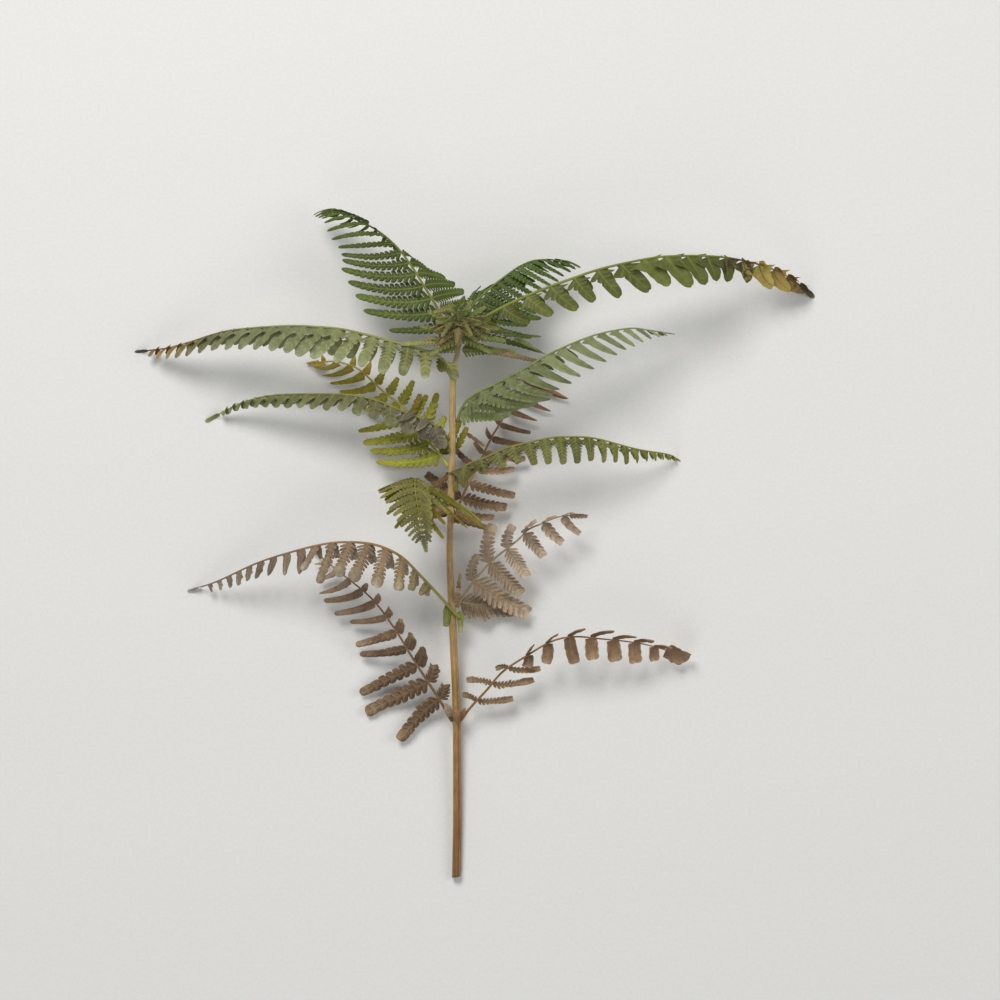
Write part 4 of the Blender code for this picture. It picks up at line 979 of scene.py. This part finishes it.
FINISHES = {
    "pinna_1_left": Finish(
        [(0, "644f33"), (0.4, "6f5640"), (0.6, "886e55"), (1, "a08a74")], "ab9570", 0.55,
        "98856f", [(0, "72593b"), (1, "8c6d53")], 0.5),
    "pinna_1_right": Finish(
        [(0, "7e6441"), (0.35, "735432"), (0.7, "85613a"), (1, "896441")], "b39872", 0.5,
        "9e825f", [(0, "8f6d38"), (1, "89643c")], 0.5),
    "pinna_2_left": Finish(
        [(0, "7d843e"), (0.1, "837740"), (0.35, "927a60"), (0.7, "83705c"), (1, "847a72")],
        "b8b09c", 0.6, "a19472", [(0, "8c8e44"), (0.4, "9b7748"), (1, "7e7160")], 0.4),
    "pinna_2_right": Finish(
        [(0, "8c724e"), (0.5, "987f63"), (1, "9a8164")], "bfae92", 0.55,
        "b19c79", [(0, "9a8660"), (1, "9a8466")], 0.35),
    "pinna_3_left": Finish(
        [(0, "7d7422"), (0.5, "77701c"), (0.8, "746f28"), (1, "84845a")], "8c8230", 0.3,
        "898026", [(0, "8a7f30"), (1, "7c762c")], 0.35),
    "pinna_3_right": Finish(
        [(0, "735834"), (0.3, "7d613c"), (1, "8d6948")], "ae9474", 0.5,
        "987a59", [(0, "946c3f"), (1, "866441")], 0.5),
    "pinna_4_right": Finish(
        [(0, "625b21"), (0.15, "625d21"), (0.45, "636624"), (0.8, "7a802f"), (1, "9b9d3c")],
        "8a6f3c", 0.35, "8f9247", [(0, "7c772e"), (1, "8d8e2e")], 0.5),
    "pinna_4_left": Finish(
        [(0, "979a31"), (0.5, "928f2d"), (0.75, "97872c"), (1, "9c8431")], "a38c3a", 0.3,
        "aba54c", [(0, "afab3f"), (1, "a18a32")], 0.4),
    "pinna_5_left": Finish(
        [(0, "695c4c"), (0.1, "6b604e"), (0.17, "69644a"), (0.26, "6d6a36"), (0.6, "6d7134"),
         (1, "7e864c")], "a3aa88", 0.45, "737151", [(0, "8a7f3a"), (1, "7c8241")], 0.25),
    "pinna_5_right": Finish(
        [(0, "767f36"), (0.3, "7a8141"), (0.7, "7c834f"), (1, "858b5b")], "a3aa8a", 0.4,
        "969e68", [(0, "7c844c"), (1, "878e54")], 0.15),
    "pinna_6_left": Finish(
        [(0, "807a1e"), (0.08, "7b7a2a"), (0.2, "7d813c"), (0.5, "7f854e"), (0.7, "737649"),
         (0.76, "6a6a38"), (0.8, "7c6c2c"), (0.84, "b0861a"), (0.91, "b06c14"),
         (0.945, "4a3722"), (1, "4a4636")], "adb292", 0.5,
        "949769", [(0, "9a9b42"), (0.6, "858c53"), (0.8, "7c6c34"), (0.9, "7c5424"),
                   (1, "433b27")], 0.3),
    "pinna_7_left": Finish(
        [(0, "526224"), (0.5, "43501b"), (0.85, "47561b"), (1, "555a25")], "6c773b", 0.3,
        "778541", [(0, "858041"), (0.5, "69712b"), (1, "535822")], 0.25),
    "pinna_7_right": Finish(
        [(0, "5b5f1e"), (0.4, "616820"), (0.7, "5e661b"), (0.72, "54551d"), (0.73, "3c2a1a"),
         (0.785, "412d1b"), (0.8, "807812"), (0.86, "9c7f04"), (0.91, "90640a"),
         (0.935, "4c301e"), (1, "463327")], "7a8028", 0.3,
        "838a26", [(0, "838435"), (0.7, "747d25"), (0.76, "4b3721"), (0.9, "8a6c1a"),
                   (1, "4d3725")], 0.25),
    "pinna_8_right": Finish(
        [(0, "475a16"), (0.5, "455a17"), (1, "5a7422")], "6a7d2f", 0.25,
        "708535", [(0, "707f29"), (1, "586f1e")], 0.2),
    "frond_tip": Finish(
        [(0, "8a7450"), (0.3, "857a4a"), (0.55, "7c7e42"), (0.75, "667636"), (1, "607234")],
        "a39266", 0.35, "9a9464", [(0, "94824e"), (1, "8c8a4e")], 0.4),
}
DEAD_SPECK = "3c2c1e"


def leaf_blade(name, finish):
    """Bracken leaf, grown and then left withering: a waxy dull skin, mottled by cells that die at
    different times, with paler side veins that dent it and a pale rim that dries first and also
    carries a painted highlight."""
    material, tree = new_material(name)
    told = {mark: add(tree, "Attribute", {}, attribute_name=mark)["Fac"] for mark in MARKS}
    place = add(tree, "TexCoord", {})["Object"]
    # Blotches about 8 mm across are where the leaf withers unevenly.
    blotch = add(tree, "TexNoise", {"Vector": place, "Scale": 1 / (8 * MM), "Detail": 3})["Fac"]
    # The grain of the skin is 0.1 mm. It's drawn at 0.9 mm so that it shows.
    grain = add(tree, "TexNoise", {"Vector": place, "Scale": 1 / (0.9 * MM), "Detail": 2})["Fac"]

    # The colours change along the pinna, a little unevenly and not quite alike on each leaflet.
    drift = add(tree, "MapRange", {0: blotch, 1: 0.3, 2: 0.7, 3: -0.035, 4: 0.035})[0]
    own = add(tree, "MapRange", {0: told["pick"], 3: -0.015, 4: 0.015})[0]
    along = add(tree, "Math", {0: told["out"], 1: drift}, operation="ADD")[0]
    along = add(tree, "Math", {0: along, 1: own}, operation="ADD")[0]
    skin = add(tree, "ValToRGB", {0: along}, stops=finish.grown)["Color"]

    # Side veins run from the rib towards the edge and bend to the leaflet's tip on the way.
    bent = add(tree, "Math", {0: told["across"], 1: -0.3, 2: told["vein"]},
               operation="MULTIPLY_ADD")[0]
    beat = add(tree, "Math", {0: bent}, operation="FRACT")[0]
    off = add(tree, "Math", {0: beat, 1: 0.5}, operation="SUBTRACT")[0]
    off = add(tree, "Math", {0: off}, operation="ABSOLUTE")[0]
    vein = add(tree, "MapRange", {0: off, 1: 0.05, 2: 0.16, 3: 1.0, 4: 0.0},
               interpolation_type="SMOOTHSTEP")[0]
    middle = add(tree, "MapRange", {0: told["across"], 1: 0.06, 2: 0.2, 3: 1.0, 4: 0.0},
                 interpolation_type="SMOOTHSTEP")[0]
    vein = add(tree, "Math", {0: vein, 1: middle}, operation="MAXIMUM")[0]
    traced = add(tree, "Math", {0: vein, 1: 0.42}, operation="MULTIPLY")[0]

    # The rim and the tip of each leaflet dry first, more in some blotches than in others. Their pale
    # colour is partly that drying and partly painted highlight along the edges.
    rim = add(tree, "MapRange", {0: told["across"], 1: 0.7, 2: 1.0},
              interpolation_type="SMOOTHSTEP")[0]
    end = add(tree, "MapRange", {0: told["reach"], 1: 0.6, 2: 1.0},
              interpolation_type="SMOOTHSTEP")[0]
    dry_rim_and_highlight_mask = add(tree, "Math", {0: rim, 1: end}, operation="MAXIMUM")[0]
    uneven = add(tree, "MapRange", {0: blotch, 1: 0.35, 2: 0.65, 3: 0.3, 4: 1.0})[0]
    dry_rim_and_highlight_mask = add(tree, "Math", {0: dry_rim_and_highlight_mask, 1: uneven}, operation="MULTIPLY")[0]
    dry_rim_and_highlight_mask = add(tree, "Math", {0: dry_rim_and_highlight_mask, 1: finish.withered}, operation="MULTIPLY")[0]

    # Dead specks of 1 to 2 mm.
    speck = add(tree, "TexNoise", {"Vector": place, "Scale": 1 / (2.2 * MM), "Detail": 1})["Fac"]
    speck = add(tree, "MapRange", {0: speck, 1: 0.62, 2: 0.7, 3: 0.0, 4: finish.specks})[0]

    # The veins, the pale rim, which is drying leaf and painted highlight, and the dead specks go
    # over the skin.
    for share, code in ((traced, finish.veins), (dry_rim_and_highlight_mask, finish.wither), (speck, DEAD_SPECK)):
        skin = add(tree, "Mix", {0: share, 6: skin, 7: paint(code)}, data_type="RGBA")[2]

    # Each leaflet has a tone of its own. It is painted darker by the pinna's midrib, as painted
    # shade where its neighbours shade it, it is clouded, and its underside is paler and duller.
    shade = add(tree, "MapRange", {0: told["pick"], 3: 0.8, 4: 1.2})[0]
    for source, low, high, dark, light in (
        # Painted shade: darker at the leaflet's root by the midrib, lighter towards its tip.
        (told["reach"], 0.0, 0.7, 0.78, 1.08),
        (blotch, 0.3, 0.7, 0.84, 1.14),
        (told["under"], 0.0, 1.0, 1.0, 1.12),
    ):
        step = add(tree, "MapRange", {0: source, 1: low, 2: high, 3: dark, 4: light})[0]
        shade = add(tree, "Math", {0: shade, 1: step}, operation="MULTIPLY")[0]
    dull = add(tree, "MapRange", {0: told["under"], 3: 1.0, 4: 0.82})[0]
    turn = add(tree, "MapRange", {0: grain, 1: 0.3, 2: 0.7, 3: 0.492, 4: 0.508})[0]
    skin = add(tree, "HueSaturation", {"Hue": turn, "Saturation": dull, "Value": shade,
                                       "Color": skin})[0]

    dent = add(tree, "Math", {0: vein, 1: -0.5}, operation="MULTIPLY")[0]
    relief = add(tree, "Math", {0: grain, 1: 0.5, 2: dent}, operation="MULTIPLY_ADD")[0]
    bump = add(tree, "Bump", {"Strength": 0.6, "Distance": 0.25 * MM, "Height": relief})[0]
    gloss = add(tree, "MapRange", {0: grain, 1: 0.3, 2: 0.7, 3: 0.48, 4: 0.66})[0]
    shader = add(tree, "BsdfPrincipled", {"Base Color": skin, "Roughness": gloss, "IOR": 1.45,
                                          "Specular IOR Level": 0.25, "Normal": bump})[0]
    add(tree, "OutputMaterial", {"Surface": shader})
    return material


def leaf_rib(name, finish):
    """The rib of a bracken leaf: smooth waxy fibre, streaked along its length."""
    material, tree = new_material(name)
    out = add(tree, "Attribute", {}, attribute_name="out")["Fac"]
    place = add(tree, "TexCoord", {})["Object"]
    # Strands of fibre are 0.1 mm wide. They're drawn at 0.8 mm so that they show.
    strand = add(tree, "TexNoise", {"Vector": place, "Scale": 1 / (0.8 * MM), "Detail": 2})["Fac"]
    blotch = add(tree, "TexNoise", {"Vector": place, "Scale": 1 / (9 * MM), "Detail": 2})["Fac"]
    drift = add(tree, "MapRange", {0: blotch, 1: 0.3, 2: 0.7, 3: -0.04, 4: 0.04})[0]
    along = add(tree, "Math", {0: out, 1: drift}, operation="ADD")[0]
    skin = add(tree, "ValToRGB", {0: along}, stops=finish.ribs)["Color"]
    shade = add(tree, "MapRange", {0: blotch, 1: 0.3, 2: 0.7, 3: 0.85, 4: 1.15})[0]
    skin = add(tree, "HueSaturation", {"Value": shade, "Color": skin})[0]
    bump = add(tree, "Bump", {"Strength": 0.4, "Distance": 0.15 * MM, "Height": strand})[0]
    shader = add(tree, "BsdfPrincipled", {"Base Color": skin, "Roughness": 0.5, "IOR": 1.45,
                                          "Normal": bump})[0]
    add(tree, "OutputMaterial", {"Surface": shader})
    return material


# The stalk's colours from its cut end to its thin end, and those of its streaks and its inside. From
# 0.94 to its thin end it is painted paler than straw, as painted light where the frond's tip shades
# it.
STALK = [(0, "80562a"), (0.1, "8a5f30"), (0.22, "9c7440"), (0.35, "aa8248"), (0.48, "b48f58"),
         (0.6, "ba9862"), (0.78, "c0a16c"), (0.9, "bea06c"), (0.925, "a5a058"), (0.94, "d6c28a"),
         (1, "e0cc98")]
DARK_STREAK = "6a4722"
LIGHT_STREAK = "cdb277"
GROOVE_STAIN = "5c3a1c"
PITH = "3a2716"


def straw_stalk():
    """A bracken stalk, dried on the plant: hard straw with a polished waxy skin, long streaks, a
    dark stain in the groove that faces up, and a soft dark pith where it's cut."""
    material, tree = new_material("straw_stalk")
    out = add(tree, "Attribute", {}, attribute_name="out")["Fac"]
    skinned = add(tree, "Attribute", {}, attribute_name="across")["Fac"]
    around = add(tree, "Attribute", {}, attribute_name="vein")["Fac"]
    place = add(tree, "TexCoord", {})["Object"]
    # Streaks run the length of the stalk, about 0.7 mm wide and 60 mm long.
    drawn = add(tree, "Mapping", {"Vector": place,
                                  "Scale": (1 / (0.7 * MM), 1 / (60 * MM), 1 / (0.7 * MM))})[0]
    streak = add(tree, "TexNoise", {"Vector": drawn, "Scale": 1.0, "Detail": 3})["Fac"]
    dark = add(tree, "MapRange", {0: streak, 1: 0.5, 2: 0.72, 3: 0.0, 4: 0.55})[0]
    light = add(tree, "MapRange", {0: streak, 1: 0.5, 2: 0.3, 3: 0.0, 4: 0.35})[0]
    # The stain fades on the way up from the cut end.
    off = add(tree, "Math", {0: around, 1: GROOVES[0][0] / 360}, operation="SUBTRACT")[0]
    off = add(tree, "Math", {0: off}, operation="ABSOLUTE")[0]
    stain = add(tree, "MapRange", {0: off, 1: 0.015, 2: 0.05, 3: 1.0, 4: 0.0},
                interpolation_type="SMOOTHSTEP")[0]
    fade = add(tree, "MapRange", {0: out, 1: 0.15, 2: 0.5, 3: 0.75, 4: 0.2})[0]
    stain = add(tree, "Math", {0: stain, 1: fade}, operation="MULTIPLY")[0]
    # The ramp's last stretch is painted light on the shaded thin end.
    skin = add(tree, "ValToRGB", {0: out}, stops=STALK)["Color"]
    for share, code in ((dark, DARK_STREAK), (light, LIGHT_STREAK), (stain, GROOVE_STAIN)):
        skin = add(tree, "Mix", {0: share, 6: skin, 7: paint(code)}, data_type="RGBA")[2]
    blotch = add(tree, "TexNoise", {"Vector": place, "Scale": 1 / (14 * MM), "Detail": 2})["Fac"]
    shade = add(tree, "MapRange", {0: blotch, 1: 0.3, 2: 0.7, 3: 0.88, 4: 1.12})[0]
    skin = add(tree, "HueSaturation", {"Value": shade, "Color": skin})[0]
    pith = add(tree, "MapRange", {0: skinned, 1: 0.8, 2: 0.2, 3: 0.0, 4: 1.0})[0]
    skin = add(tree, "Mix", {0: pith, 6: skin, 7: paint(PITH)}, data_type="RGBA")[2]
    bump = add(tree, "Bump", {"Strength": 0.5, "Distance": 0.2 * MM, "Height": streak})[0]
    gloss = add(tree, "MapRange", {0: streak, 1: 0.3, 2: 0.7, 3: 0.36, 4: 0.55})[0]
    shader = add(tree, "BsdfPrincipled", {"Base Color": skin, "Roughness": gloss, "IOR": 1.5,
                                          "Normal": bump})[0]
    add(tree, "OutputMaterial", {"Surface": shader})
    return material


def matt_paper():
    """Uncoated paper on the table: pale and matt, so that it takes soft shadows with no shine."""
    material, tree = new_material("matt_paper")
    place = add(tree, "TexCoord", {})["Object"]
    # Paper fibre is 0.03 mm. It's drawn as a faint cloud of 3 mm.
    fibre = add(tree, "TexNoise", {"Vector": place, "Scale": 1 / (3 * MM), "Detail": 4})["Fac"]
    sheet = add(tree, "ValToRGB", {0: fibre}, stops=[(0.3, "e6e4df"), (0.7, "ebe9e5")])["Color"]
    shader = add(tree, "BsdfPrincipled", {"Base Color": sheet, "Roughness": 0.9})[0]
    add(tree, "OutputMaterial", {"Surface": shader})
    return material


def studio():
    """The pale table top under the frond, the soft lights and the camera that looks down."""
    scene = bpy.context.scene
    data = bpy.data.meshes.new("table_top")
    corners = [(x * TABLE_REACH, y * TABLE_REACH, 0)
               for x, y in ((-1, -1), (1, -1), (1, 1), (-1, 1))]
    data.from_pydata(corners, [], [(0, 1, 2, 3)])
    data.materials.append(matt_paper())
    table = bpy.data.objects.new("table_top", data)
    scene.collection.objects.link(table)

    for name, place, size, power in LIGHTS:
        lamp = bpy.data.lights.new(name, "AREA")
        lamp.shape = "DISK"
        lamp.size = size
        lamp.energy = power
        light = bpy.data.objects.new(name, lamp)
        light.location = place
        light.rotation_euler = (VIEW_CENTRE - Vector(place)).to_track_quat("-Z", "Y").to_euler()
        scene.collection.objects.link(light)
    world = bpy.data.worlds.new("studio")
    world.use_nodes = True
    sky = world.node_tree.nodes["Background"].inputs
    sky["Color"].default_value = paint("dfe3e8")
    sky["Strength"].default_value = AMBIENT
    scene.world = world
    scene.view_settings.view_transform = "Standard"

    lens = bpy.data.cameras.new("camera")
    lens.lens = LENS
    lens.sensor_width = SENSOR
    lens.clip_end = 50
    camera = bpy.data.objects.new("camera", lens)
    camera.location = VIEW_CENTRE + Vector((0, 0, VIEW_WIDTH * LENS / SENSOR))
    scene.collection.objects.link(camera)
    scene.camera = camera


stem_low, stem_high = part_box("stem")
# Where the stem's own frame sits. The stem's box reaches 6.78 mm to the right of it and 1.39 mm
# past it at the cut end, and starts 0.2 mm above it.
BASE = np.array([stem_high.x - 6.78 * MM, stem_low.y + 1.39 * MM, stem_low.z - 0.2 * MM])
VIEW_CENTRE = Vector(BASE + np.array(VIEW_POINT) * MM)

stalk = straw_stalk()
grow_stem().finish("grown_stem", "stem", "straw_stem", [stalk])
for pinna in PINNAE:
    finish = FINISHES[pinna.name]
    grow_pinna(pinna).finish(
        "grown_" + pinna.name, pinna.name, pinna.slot,
        [leaf_blade(pinna.name + "_leaf", finish), leaf_rib(pinna.name + "_rib", finish)],
    )
studio()
